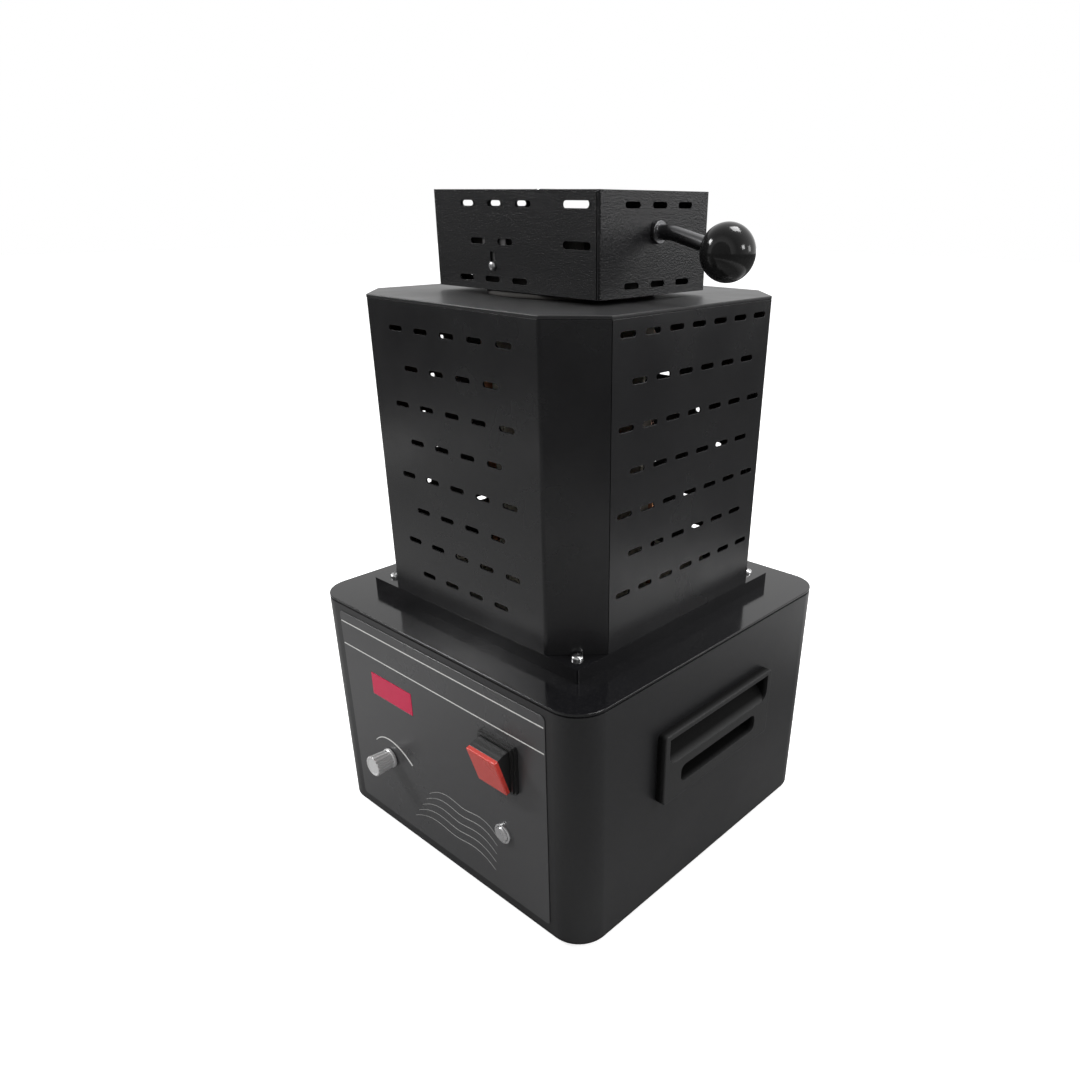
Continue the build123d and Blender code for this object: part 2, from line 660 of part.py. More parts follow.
def cable_gland():
    """Gland with a hexagonal flange and a domed clamping nut, open for the cord."""
    flange_height = 5
    dome_r = 10.4
    dome = Polyline(
        (0, flange_height),
        (dome_r, flange_height),
        (dome_r, GLAND_REACH - 5),
        (dome_r - 2, GLAND_REACH - 1.5),
        (GLAND_BORE_R + 2, GLAND_REACH),
        (0, GLAND_REACH),
        (0, flange_height),
    )
    nut = revolve(Plane.XZ * make_face(dome), Axis.Z)
    flange = hexagon(GLAND_HEX, 0, flange_height)
    thread = drum(GLAND_THREAD_R, -14, flange_height)
    body = flange + nut + thread - drum(GLAND_BORE_R, -15, GLAND_REACH + 1)
    return Pos(GLAND_AT[0], HALF, GLAND_AT[1]) * Rot(-90, 0, 0) * body


def gland_locknut():
    """Locknut on the gland's thread, inside the rear wall."""
    thick = 4
    nut = Pos(GLAND_AT[0], INNER, GLAND_AT[1]) * Rot(90, 0, 0) * hexagon(GLAND_HEX, 0, thick)
    return nut - plug(GLAND_THREAD_R, INNER - thick, INNER, GLAND_AT)


# ---------------------------------------------------------------- electronics in the case
def standoff_places():
    """Fixing holes of the power board."""
    return [(sx * 70, sy * 50 - 15) for sx, sy in CORNERS]


def standoffs():
    """Hexagonal posts that carry the power board."""
    return [hexagon(7, SHELL_LOW_Z, BOARD_TOP_Z - BOARD_THICK, x, y) for x, y in standoff_places()]


def power_board():
    """Circuit board on its standoffs."""
    low = BOARD_TOP_Z - BOARD_THICK
    board = block((-78, 78), (-73, 43), (low, BOARD_TOP_Z))
    return board - [drum(1.6, low, BOARD_TOP_Z, x, y) for x, y in standoff_places()]


def heat_sink():
    """Finned heat sink in front of the fan, its fins along the air's way."""
    width = 84
    base = 6
    fin_height = 40
    fin = 2.4
    fins = 9
    pitch = (width - fin) / (fins - 1)
    outline = Pos(0, base / 2) * Rectangle(width, base)
    for k in range(fins):
        outline += Pos((fin - width) / 2 + k * pitch, base + fin_height / 2) * Rectangle(fin, fin_height)
    plane = Plane(origin=(FAN_AT[0] + 4, 28, BOARD_TOP_Z), x_dir=(1, 0, 0), z_dir=(0, -1, 0))
    return extrude(plane * outline, 42)


def capacitor_places():
    """Film capacitors, the outer two under the coil leads."""
    return [lead_place(0), (26.0, -58.0), lead_place(1)]


def film_capacitors():
    """Square blocks, the outer two under the lead terminals."""
    blank = slab(36, 26, BOARD_TOP_Z, LEAD_LOW_Z - TERMINAL_HEIGHT, 2)
    return [Pos(x, y, 0) * blank for x, y in capacitor_places()]


def lead_terminals():
    """Copper blocks that hold the lower ends of the coil leads."""
    half = 8
    low = LEAD_LOW_Z - TERMINAL_HEIGHT
    places = [lead_place(0), lead_place(1)]
    return [block((x - half, x + half), (y - half, y + half), (low, LEAD_LOW_Z)) for x, y in places]


def filter_capacitors():
    """Two upright cans beside the board's middle."""
    can = drum(13, BOARD_TOP_Z, 66)
    can = chamfer(can.faces().sort_by(Axis.Z)[-1].edges(), 1.5)
    return [Pos(60, y, 0) * can for y in (-19, -48)]


def choke():
    """Toroidal choke that stands beside the board."""
    outer_r = 27
    width = 22
    ring = Cylinder(outer_r, width) - Cylinder(13, width)
    return Pos(102, 0, SHELL_LOW_Z + outer_r) * Rot(0, 90, 0) * ring


# ---------------------------------------------------------------- tower base
def base_screw_places():
    """The four screws at the corners of the tower's base."""
    return [(sx * BASE_SCREW_AT, sy * BASE_SCREW_AT) for sx, sy in CORNERS]


def tower_base():
    """Square tray turned upside down, which carries the tower and shows as its raised base."""
    side = 2 * BASE_HALF
    inner_side = side - 2 * SHEET
    outer = slab(side, side, CASE_TOP_Z, BASE_TOP_Z, 0.8)
    hollow = slab(inner_side, inner_side, CASE_TOP_Z, BASE_TOP_Z - SHEET)
    tray = outer - hollow - drum(TOWER_HOLE_R, CASE_TOP_Z, BASE_TOP_Z)
    return tray - [drum(CLOSE_HOLE_R, CASE_TOP_Z, BASE_TOP_Z, x, y) for x, y in base_screw_places()]


def base_screws():
    """Pan-head screws through the tower's base into the case top."""
    screw = pan_screw(head_r=3.8, head_h=3.0, shank_r=SCREW_R, shank=BASE_HEIGHT + 6)
    return [Pos(x, y, BASE_TOP_Z) * screw for x, y in base_screw_places()]


# ---------------------------------------------------------------- octagonal slotted shroud
def octagon(inset=0.0, fold=0.0):
    """Plan of the tower, moved in by an inset, with rounded folds at the ends of its front and rear faces."""
    half = TOWER_HALF - inset
    cut = TOWER_CUT - inset * (2 - sqrt(2))
    points = []
    for sx, sy in CORNERS:
        flat_side = (sx * half, sy * (half - cut))
        flat_face = (sx * (half - cut), sy * half)
        points += [flat_face, flat_side] if sx * sy < 0 else [flat_side, flat_face]
    plan = make_face(Polyline(*points, close=True))
    if fold:
        folds = [v for v in plan.vertices() if abs(abs(v.Y) - half) < 0.01]
        plan = fillet(folds, fold)
    return plan


def shroud_wrap(side):
    """Front or rear folded sheet: a face, two corner faces and return flanges behind the side sheets."""
    ring = octagon(0, FOLD_R) - octagon(TOWER_SHEET, FOLD_R - TOWER_SHEET)
    depth = TOWER_CUT + 4
    keep = Pos(0, side * (FOLD_EDGE + depth / 2)) * Rectangle(2 * TOWER_HALF + 4, depth)
    plan = ring & keep
    flange_x = TOWER_HALF - 1.5 * TOWER_SHEET - 0.1
    flange_y = side * (FOLD_EDGE - RETURN_FLANGE / 2 + 0.6)
    for sx in (-1, 1):
        plan += Pos(sx * flange_x, flange_y) * Rectangle(TOWER_SHEET, RETURN_FLANGE + 1.2)
    sheet = Pos(0, 0, BASE_TOP_Z) * extrude(plan, SHROUD_TOP_Z - BASE_TOP_Z)
    places = staggered_places(FRONT_WIDE_ROW, FRONT_SLOT_PITCH, FRONT_ROWS, FRONT_ROW_PITCH, FRONT_TOP_ROW_Z)
    wall = FRONT_WALL if side < 0 else REAR_WALL
    return sheet - slots_through(places, SLOT_LENGTH, SLOT_HEIGHT, wall, 3)


def shroud_side(side):
    """Flat slotted side sheet between the two folded ones."""
    height = SHROUD_TOP_Z - BASE_TOP_Z
    outline = Pos(0, BASE_TOP_Z + height / 2) * Rectangle(2 * FOLD_EDGE - 0.6, height)
    places = staggered_places(SIDE_WIDE_ROW, SIDE_SLOT_PITCH, SIDE_ROWS, SIDE_ROW_PITCH, SIDE_TOP_ROW_Z)
    outline -= [Pos(along, up) * Rectangle(SLOT_LENGTH, SLOT_HEIGHT) for along, up in places]
    wall = Plane(origin=(side * TOWER_HALF, 0, 0), x_dir=(0, side, 0), z_dir=(side, 0, 0))
    return extrude(wall * outline, -TOWER_SHEET)


def tower_top_plate():
    """Octagonal top with the bore that seats the mouth ring and the hole of the lid's pivot."""
    plate = Pos(0, 0, SHROUD_TOP_Z) * extrude(octagon(), TOWER_PLATE)
    plate = chamfer(plate.edges().group_by(Axis.Z)[-1], 0.5)
    bore = drum(MOUTH_SEAT_R, SHROUD_TOP_Z, TOWER_TOP_Z)
    return plate - bore - drum(PIVOT_R, SHROUD_TOP_Z, TOWER_TOP_Z, PIVOT_X, PIVOT_Y)


# ---------------------------------------------------------------- hearth
def support_board():
    """Insulating board over the base's hole, bored for the leads."""
    board = slab(160, 160, BASE_TOP_Z, SUPPORT_TOP_Z)
    board = chamfer(board.edges().filter_by(Axis.Z), 24)
    bore = COIL_TUBE_R + 0.6
    return board - [drum(bore, BASE_TOP_Z, SUPPORT_TOP_Z, *lead_place(end)) for end in (0, 1)]


def base_brick():
    """Refractory foot of the hearth, stepped to seat the sleeve."""
    return drum(SLEEVE_R, SUPPORT_TOP_Z, SLEEVE_LOW_Z) + drum(SLEEVE_BORE_R, SLEEVE_LOW_Z, CRUCIBLE_LOW_Z)


def sleeve():
    """Insulating tube round the crucible."""
    return drum(SLEEVE_R, SLEEVE_LOW_Z, SLEEVE_TOP_Z) - drum(SLEEVE_BORE_R, SLEEVE_LOW_Z, SLEEVE_TOP_Z)


def crucible():
    """Tapered graphite crucible with a round-bottomed bore."""
    floor_z = CRUCIBLE_LOW_Z + 13
    low_r = CRUCIBLE_BORE_R - 4
    outline = Polyline(
        (0, CRUCIBLE_LOW_Z),
        (CRUCIBLE_FOOT_R, CRUCIBLE_LOW_Z),
        (CRUCIBLE_R, CRUCIBLE_TOP_Z - 1),
        (CRUCIBLE_R - 1, CRUCIBLE_TOP_Z),
        (CRUCIBLE_BORE_R + 1, CRUCIBLE_TOP_Z),
        (CRUCIBLE_BORE_R, CRUCIBLE_TOP_Z - 1),
        (low_r, floor_z + 6),
        (low_r - 5, floor_z),
        (0, floor_z),
        (0, CRUCIBLE_LOW_Z),
    )
    return revolve(Plane.XZ * make_face(outline), Axis.Z)


def mouth_ring():
    """Refractory collar that seats in the top plate and stands a little above it."""
    low = SLEEVE_TOP_Z + 0.3
    high = TOWER_TOP_Z + MOUTH_RISE
    collar = drum(MOUTH_COLLAR_R, TOWER_TOP_Z, high) + drum(MOUTH_SEAT_R - 0.2, low, TOWER_TOP_Z)
    ring = collar - drum(MOUTH_R, low, high)
    return chamfer(ring.edges().group_by(Axis.Z)[-1], 0.8)


# ---------------------------------------------------------------- induction coil
def helix_point(half_turns):
    """Point and unit tangent of the coil's centre line after some half turns."""
    angle = radians(COIL_START_DEG) + half_turns * pi
    point = Vector(COIL_R * cos(angle), COIL_R * sin(angle), COIL_LOW_Z + COIL_PITCH * half_turns / 2)
    rise = COIL_PITCH / (2 * pi)
    return point, Vector(-COIL_R * sin(angle), COIL_R * cos(angle), rise).normalized()


def biarc(start, start_way, end, end_way):
    """Two arcs that leave start and reach end along the given unit tangents."""
    chord = end - start
    ways = start_way + end_way
    lead = chord.dot(ways)
    slack = 4 - ways.dot(ways)
    reach = (sqrt(lead * lead + slack * chord.dot(chord)) - lead) / slack
    joint = (start + start_way * reach + end - end_way * reach) * 0.5
    first = TangentArc(start, joint, tangent=start_way)
    return [first, TangentArc(joint, end, tangent=first % 1)]


def coil_path():
    """Centre line of the coil, with one tube diameter straight at each end."""
    stub = 2 * COIL_TUBE_R
    first, first_way = helix_point(0)
    last, last_way = helix_point(COIL_HALF_TURNS)
    edges = [Line(first - first_way * stub, first)]
    for k in range(COIL_HALF_TURNS):
        edges += biarc(*helix_point(k), *helix_point(k + 1))
    edges.append(Line(last, last + last_way * stub))
    return Wire(edges)


def least_coil_gap():
    """Least gap between one turn of the tube and the next, measured on points of the centre line."""
    path = coil_path()
    steps = 24 * COIL_HALF_TURNS
    points = [path @ (k / steps) for k in range(steps + 1)]
    gaps = []
    for k, point in enumerate(points):
        gaps += [(other - point).length - 2 * COIL_TUBE_R for other in points[k + 24:]]
    return min(gaps)


def induction_coil():
    """Copper tube swept along the coil's centre line."""
    path = coil_path()
    section = Plane(origin=path @ 0, z_dir=path % 0) * Circle(COIL_TUBE_R)
    return sweep(section, path=path)


def lead_ends(end):
    """Where a lead meets the coil's lower or upper end, and the bend where it turns down."""
    point, way = helix_point(COIL_HALF_TURNS * end)
    away = way if end else way * -1
    reach = sqrt(LEAD_R**2 - COIL_R**2) / hypot(away.X, away.Y)
    return point + away * (2 * COIL_TUBE_R), point + away * reach


def lead_place(end):
    """Place (x, y) of the upright part of a lead."""
    bend = lead_ends(end)[1]
    return bend.X, bend.Y


def coil_lead(end):
    """Copper lead that runs on from a coil end and bends down into the case."""
    start, bend = lead_ends(end)
    foot = Vector(bend.X, bend.Y, LEAD_LOW_Z)
    path = FilletPolyline(start, bend, foot, radius=LEAD_BEND_R)
    return sweep(Plane(origin=path @ 0, z_dir=path % 0) * Circle(COIL_TUBE_R), path=path)


def comb(turn):
    """Upright insulating post with a notch for each turn of the coil that passes it."""
    wide = (-COMB_WIDTH, COMB_WIDTH)
    post = block((COMB_IN_R, COMB_OUT_R), (wide[0] / 2, wide[1] / 2), (SUPPORT_TOP_Z, SLEEVE_TOP_Z - 2))
    reach = COIL_R + COIL_TUBE_R + 0.4
    half = COIL_TUBE_R + 0.6
    first = (turn - COIL_START_DEG) % 360 / 360
    turns = [first + k for k in range(COIL_HALF_TURNS // 2 + 1) if first + k < COIL_HALF_TURNS / 2]
    notches = []
    for passed in turns:
        height = COIL_LOW_Z + COIL_PITCH * passed
        notches.append(block((COMB_IN_R - 1, reach), wide, (height - half, height + half)))
    return Rot(0, 0, turn) * (post - notches)


# ---------------------------------------------------------------- lid
def lid_wall_slots(wall):
    """Slot cutters of one long wall; the rear wall has a single wide window instead of the upper row."""
    wall_y = LID_REAR_Y if wall > 0 else LID_FRONT_Y
    plane = Plane(origin=(0, wall_y, 0), x_dir=(1, 0, 0), z_dir=(0, -1, 0))
    cutters = []
    rows = list(zip(LID_ROW_Z, LID_FRONT_STARTS, LID_FRONT_COUNTS))
    for row_z, start, count in rows[1:] if wall > 0 else rows:
        places = [(start + k * LID_SLOT_PITCH, row_z) for k in range(count)]
        cutters += slots_through(places, SLOT_LENGTH, LID_SLOT_HEIGHT, plane, 3)
    if wall < 0:
        long_places = [(LONG_SLOT_X, row_z) for row_z in LID_ROW_Z[:2]]
        cutters += slots_through(long_places, LONG_SLOT, LID_SLOT_HEIGHT + 0.2, plane, 3)
    else:
        cutters += slots_through([(REAR_WINDOW_X, LID_ROW_Z[0])], REAR_WINDOW, LID_SLOT_HEIGHT + 1, plane, 3)
    cutters.append(panel_block(STRAP_SLOT, wall_y - 3, wall_y + 3, (STRAP_X, STRAP_SLOT_Z)))
    return cutters


def lid_slab(inset, low, high, corner=0.0):
    """Prism on the lid's plan, moved in by an inset."""
    width = LID_RIGHT_X - LID_LEFT_X - 2 * inset
    depth = LID_REAR_Y - LID_FRONT_Y - 2 * inset
    middle = Pos((LID_LEFT_X + LID_RIGHT_X) / 2, (LID_FRONT_Y + LID_REAR_Y) / 2, 0)
    return middle * slab(width, depth, low, high, corner)


def lid_box():
    """Sheet box, open below, with slotted walls, the pivot's hole and the handle stud's hole."""
    outer = lid_slab(0, LID_LOW_Z, LID_TOP_Z, LID_EDGE_R)
    outer = chamfer(outer.edges().group_by(Axis.Z)[-1], 0.6)
    box = outer - lid_slab(LID_SHEET, LID_LOW_Z, LID_TOP_Z - LID_SHEET)
    cutters = lid_wall_slots(-1) + lid_wall_slots(1)
    for side, wall_x in ((-1, LID_LEFT_X), (1, LID_RIGHT_X)):
        wall = Plane(origin=(wall_x, END_SLOT_Y, 0), x_dir=(0, side, 0), z_dir=(side, 0, 0))
        places = row_places(3, LID_SLOT_PITCH, LID_ROW_Z[0]) + row_places(3, LID_SLOT_PITCH, LID_ROW_Z[2])
        cutters += slots_through(places, SLOT_LENGTH, LID_SLOT_HEIGHT, wall, 3)
    cutters.append(drum(PIVOT_R + 2 * RUNNING_GAP, LID_TOP_Z - 3, LID_TOP_Z + 1, PIVOT_X, PIVOT_Y))
    cutters.append(Pos(LID_RIGHT_X, 0, ROD_Z) * Rot(0, 90, 0) * Cylinder(ROD_STUD_R, 8))
    return box - cutters


def lid_base_plate():
    """Shallow tray inside the lid's lower rim, with a window for the block and a corner cut at the bush."""
    low = LID_LOW_Z + 0.1
    rim = low + 3.2
    tray = lid_slab(LID_SHEET, low, rim) - lid_slab(2 * LID_SHEET, low + LID_SHEET, rim)
    window = Pos(BLOCK_X, 0, 0) * slab(BLOCK_STEP[0] + 1, BLOCK_STEP[1] + 1, low, low + LID_SHEET)
    corner = block((LID_LEFT_X, PIVOT_X), (PIVOT_Y, LID_REAR_Y), (low, rim))
    return tray - window - corner - drum(BUSH_R, low, rim, PIVOT_X, PIVOT_Y)


def lid_block():
    """Refractory brick that closes the mouth, stepped into the base plate's window."""
    seat = LID_LOW_Z + 0.1 + LID_SHEET
    brick = slab(BLOCK[0], BLOCK[1], seat, BLOCK_TOP_Z)
    brick = chamfer(brick.edges().filter_by(Axis.Z), 3)
    return Pos(BLOCK_X, 0, 0) * (brick + slab(BLOCK_STEP[0], BLOCK_STEP[1], LID_LOW_Z + 0.2, seat))


def lid_strap():
    """Strap over the block, its legs against the long walls."""
    half = 10
    width = (STRAP_X - half, STRAP_X + half)
    front = LID_FRONT_Y + LID_SHEET
    rear = LID_REAR_Y - LID_SHEET
    foot_z = BLOCK_TOP_Z - 27
    outer = block(width, (front, rear), (foot_z, BLOCK_TOP_Z + LID_SHEET))
    gap = block(width, (front + LID_SHEET, rear - LID_SHEET), (foot_z, BLOCK_TOP_Z))
    hole = Pos(STRAP_X, 0, STRAP_SCREW_Z) * Rot(90, 0, 0) * Cylinder(STRAP_SCREW_R, 2 * LID_RIGHT_X)
    return outer - gap - hole


def lid_strap_screws():
    """The strap's two screws, one through each long wall."""
    screw = pan_screw(head_r=2.6, head_h=1.8, shank_r=STRAP_SCREW_R, shank=4)
    rear = outward(screw, STRAP_X, STRAP_SCREW_Z, LID_REAR_Y)
    return [rear, outward(screw, STRAP_X, STRAP_SCREW_Z, LID_FRONT_Y, -1)]


def pivot_bush():
    """Tube in the lid's rear corner that turns on the pivot stud."""
    top = LID_TOP_Z - LID_SHEET
    bore = drum(PIVOT_R + RUNNING_GAP, LID_LOW_Z, top, PIVOT_X, PIVOT_Y)
    return drum(BUSH_R, LID_LOW_Z, top, PIVOT_X, PIVOT_Y) - bore


def handle_rod():
    """Metal rod with a round foot against the lid's wall, bent down towards the ball."""
    path = FilletPolyline((LID_RIGHT_X, 0, ROD_Z), (ROD_BEND_X, 0, ROD_Z), (BALL_X, 0, BALL_Z), radius=30)
    rod = sweep(Plane(origin=path @ 0, z_dir=path % 0) * Circle(ROD_R), path=path)
    foot_height = 2.5
    foot = Pos(LID_RIGHT_X + foot_height / 2, 0, ROD_Z) * Rot(0, 90, 0) * Cylinder(1.5 * ROD_R, foot_height)
    stud_length = 9
    stud = Pos(LID_RIGHT_X - stud_length / 2, 0, ROD_Z) * Rot(0, 90, 0) * Cylinder(ROD_STUD_R, stud_length)
    return rod + foot + stud


def handle_nut():
    """Nut on the rod's stud, inside the lid's wall."""
    thick = 5
    nut = Rot(0, 90, 0) * hexagon(10, 0, thick)
    hole = Pos(thick / 2, 0, 0) * Rot(0, 90, 0) * Cylinder(ROD_STUD_R, thick)
    return Pos(LID_RIGHT_X - LID_SHEET - thick, 0, ROD_Z) * (nut - hole)


def handle_ball(rod):
    """Plastic ball with a flat where the rod enters."""
    way = Vector(BALL_X - ROD_BEND_X, 0, BALL_Z - ROD_Z).normalized()
    flat = Plane(origin=Vector(BALL_X, 0, BALL_Z) - way * (BALL_R - 1.2), z_dir=way * -1)
    ball = Pos(BALL_X, 0, BALL_Z) * Sphere(BALL_R)
    return ball - extrude(flat * Rectangle(40, 40), 10) - rod


# ---------------------------------------------------------------- lid pivot on the tower
def pivot_stud():
    """Upright stud through the top plate, tapped at its upper end."""
    top = LID_TOP_Z + 0.1
    stud = drum(PIVOT_R, PIVOT_NUT_Z - 5.5, top, PIVOT_X, PIVOT_Y)
    return stud - drum(PIVOT_TAP_R, top - PIVOT_TAP_DEPTH, top, PIVOT_X, PIVOT_Y)


def pivot_nut():
    """Nut on the stud, under the tower's top plate."""
    nut = hexagon(13, PIVOT_NUT_Z, SHROUD_TOP_Z, PIVOT_X, PIVOT_Y)
    return nut - drum(PIVOT_R, PIVOT_NUT_Z, SHROUD_TOP_Z, PIVOT_X, PIVOT_Y)


def pivot_washer():
    """Washer that carries the lid just above the mouth ring."""
    top = LID_LOW_Z - 0.1
    return drum(10, TOWER_TOP_Z, top, PIVOT_X, PIVOT_Y) - drum(PIVOT_R, TOWER_TOP_Z, top, PIVOT_X, PIVOT_Y)


def pivot_screw():
    """Low-headed screw that keeps the lid on its stud."""
    low = LID_TOP_Z + 0.2
    head = drum(7, low, low + 1.3, PIVOT_X, PIVOT_Y)
    return head + drum(PIVOT_TAP_R, low - 11, low, PIVOT_X, PIVOT_Y)


# ---------------------------------------------------------------- write every piece
os.makedirs("parts", exist_ok=True)

save("case_shell", case_shell())
save("case_top_plate", case_top_plate())
save("bottom_plate", bottom_plate())
save("rubber_feet", *[rubber_foot(x, y) for x, y in foot_places()])
save("foot_screws", *[foot_screw(x, y) for x, y in foot_places()])
save("side_grip_right", grip(1))
save("side_grip_left", grip(-1))

save("front_overlay", front_overlay())
save("display_window", display_window())
save("display_board", display_board())
save("potentiometer", potentiometer())
save("pot_shaft", pot_shaft())
save("knob", knob())
save("switch_housing", switch_housing())
save("rocker", rocker())
save("rocker_lens", rocker_lens())
save("button_bezel", button_bezel())
save("button_nut", button_nut())
save("button_cap", button_cap())

save("fan_frame", fan_frame())
save("fan_rotor", fan_rotor())
save("fan_guard", fan_guard())
save("fan_screws", *fan_screws())
save("cable_gland", cable_gland())
save("gland_locknut", gland_locknut())

save("standoffs", *standoffs())
save("power_board", power_board())
save("heat_sink", heat_sink())
save("film_capacitors", *film_capacitors())
save("filter_capacitors", *filter_capacitors())
save("lead_terminals", *lead_terminals())
save("choke", choke())

save("tower_base", tower_base())
save("tower_base_screws", *base_screws())
save("shroud_front", shroud_wrap(-1))
save("shroud_rear", shroud_wrap(1))
save("shroud_right", shroud_side(1))
save("shroud_left", shroud_side(-1))
save("tower_top_plate", tower_top_plate())

save("support_board", support_board())
save("base_brick", base_brick())
save("insulating_sleeve", sleeve())
save("crucible", crucible())
save("mouth_ring", mouth_ring())
save("induction_coil", induction_coil())
save("coil_leads", coil_lead(0), coil_lead(1))
save("coil_combs", *[comb(turn) for turn in (0, 90, 180, 270)])

handle = handle_rod()
save("lid_box", lid_box())
save("lid_base_plate", lid_base_plate())
save("lid_block", lid_block())
save("lid_strap", lid_strap())
save("lid_strap_screws", *lid_strap_screws())
save("pivot_bush", pivot_bush())
save("handle_rod", handle)
save("handle_nut", handle_nut())
save("handle_ball", handle_ball(handle))
save("pivot_stud", pivot_stud())
save("pivot_nut", pivot_nut())
save("pivot_washer", pivot_washer())
save("pivot_screw", pivot_screw())

print("least gap between coil turns: %.2f mm" % least_coil_gap())
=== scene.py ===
import json
from math import cos, pi, radians, sin, sqrt, tau

import bpy
from mathutils import Matrix, Vector

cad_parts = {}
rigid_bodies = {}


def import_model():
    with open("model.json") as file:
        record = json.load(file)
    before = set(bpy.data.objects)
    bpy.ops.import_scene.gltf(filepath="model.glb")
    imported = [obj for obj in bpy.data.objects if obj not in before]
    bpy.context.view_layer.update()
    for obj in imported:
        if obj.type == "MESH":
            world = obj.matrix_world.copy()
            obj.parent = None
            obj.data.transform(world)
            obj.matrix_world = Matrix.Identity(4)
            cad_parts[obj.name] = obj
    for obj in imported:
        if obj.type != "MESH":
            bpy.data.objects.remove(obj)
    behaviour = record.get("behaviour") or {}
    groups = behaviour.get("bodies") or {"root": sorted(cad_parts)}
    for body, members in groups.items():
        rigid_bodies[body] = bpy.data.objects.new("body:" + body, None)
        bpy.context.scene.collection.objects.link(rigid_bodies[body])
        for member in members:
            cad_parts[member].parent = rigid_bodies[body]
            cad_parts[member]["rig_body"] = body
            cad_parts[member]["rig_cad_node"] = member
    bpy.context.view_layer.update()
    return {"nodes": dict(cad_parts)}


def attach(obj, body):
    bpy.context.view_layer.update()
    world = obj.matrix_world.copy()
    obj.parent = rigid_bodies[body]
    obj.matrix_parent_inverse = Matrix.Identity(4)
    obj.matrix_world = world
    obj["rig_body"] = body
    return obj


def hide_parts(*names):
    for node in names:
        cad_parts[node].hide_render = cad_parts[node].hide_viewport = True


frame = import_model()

# ------------------------------------------------------------------ camera
# One camera at the photograph's place: level with the lid, to the right of the control panel.
# Its place and its turn were solved from the object's straight edges.
CAMERA_PLACE = (0.3958, -0.4090, 0.4306)
CAMERA_YAW, CAMERA_PITCH, CAMERA_ROLL = 41.72, 63.16, 0.62
lens = bpy.data.cameras.new("camera")
lens.sensor_width = 36.0
lens.lens = 28.31
lens.shift_x = -0.0597
lens.shift_y = 0.0844
lens.clip_start = 0.01
camera = bpy.data.objects.new("camera", lens)
bpy.context.scene.collection.objects.link(camera)
aim = Matrix.Rotation(radians(CAMERA_YAW), 4, "Z") @ Matrix.Rotation(radians(CAMERA_PITCH), 4, "X")
aim = aim @ Matrix.Rotation(radians(CAMERA_ROLL), 4, "Z")
camera.matrix_world = Matrix.Translation(CAMERA_PLACE) @ aim
bpy.context.scene.camera = camera
bpy.context.scene.view_settings.view_transform = "Standard"

# ------------------------------------------------------------------ studio
# A white floor that keeps the object's shadow, under a white surround.
# The surround is bright behind the object and dim in front of it, as an open studio is.
bpy.ops.object.select_all(action="DESELECT")
bpy.ops.mesh.primitive_plane_add(size=16, location=(0, 0, 0))
floor = bpy.context.object
floor.name = "floor"


def add_node(tree, kind, settings=None, **inputs):
    """Shader node with its plain settings and input values."""
    node = tree.nodes.new("ShaderNode" + kind)
    for name, value in (settings or {}).items():
        setattr(node, name, value)
    for name, value in inputs.items():
        node.inputs[name.replace("_", " ")].default_value = value
    return node


def grey_ramp(tree, stops):
    """Ramp through pairs of place and grey."""
    ramp = add_node(tree, "ValToRGB")
    for place, grey in stops:
        stop = ramp.color_ramp.elements[0] if place == 0.0 else ramp.color_ramp.elements.new(place)
        stop.position = place
        stop.color = (grey, grey, grey, 1)
    return ramp


FLOOR_WHITE, FLOOR_GLOW = (0.84, 0.84, 0.84, 1), 0.75
BRIGHTEST_SPOT = (-0.25, -0.25, 0)
floor_paint = bpy.data.materials.new("floor_white")
floor_paint.use_nodes = True
tree = floor_paint.node_tree
shader = tree.nodes["Principled BSDF"]
shader.inputs["Roughness"].default_value = 0.9
shader.inputs["Specular IOR Level"].default_value = 0.1
seen = add_node(tree, "LightPath")
where = add_node(tree, "TexCoord")
shift = add_node(tree, "VectorMath", {"operation": "SUBTRACT"})
shift.inputs[1].default_value = BRIGHTEST_SPOT
away = add_node(tree, "VectorMath", {"operation": "LENGTH"})
tree.links.new(where.outputs["Object"], shift.inputs[0])
tree.links.new(shift.outputs["Vector"], away.inputs[0])
# For reflections and bounce light the floor is painted with a pool of light about the brightest spot, fading to dark
# grey farther out; the camera sees it plain white.
painted_light_pool = grey_ramp(tree, ((0.0, 0.50), (0.35, 0.40), (0.70, 0.18), (1.0, 0.14)))
tree.links.new(away.outputs["Value"], painted_light_pool.inputs["Fac"])
pick = add_node(tree, "Mix", {"data_type": "RGBA"})
pick.inputs["B"].default_value = FLOOR_WHITE
tree.links.new(seen.outputs["Is Camera Ray"], pick.inputs["Factor"])
tree.links.new(painted_light_pool.outputs["Color"], pick.inputs["A"])
tree.links.new(pick.outputs["Result"], shader.inputs["Base Color"])
lift = add_node(tree, "Math", {"operation": "MULTIPLY"})
lift.inputs[1].default_value = FLOOR_GLOW
tree.links.new(seen.outputs["Is Camera Ray"], lift.inputs[0])
shader.inputs["Emission Color"].default_value = (1, 1, 1, 1)
tree.links.new(lift.outputs[0], shader.inputs["Emission Strength"])
floor.data.materials.append(floor_paint)

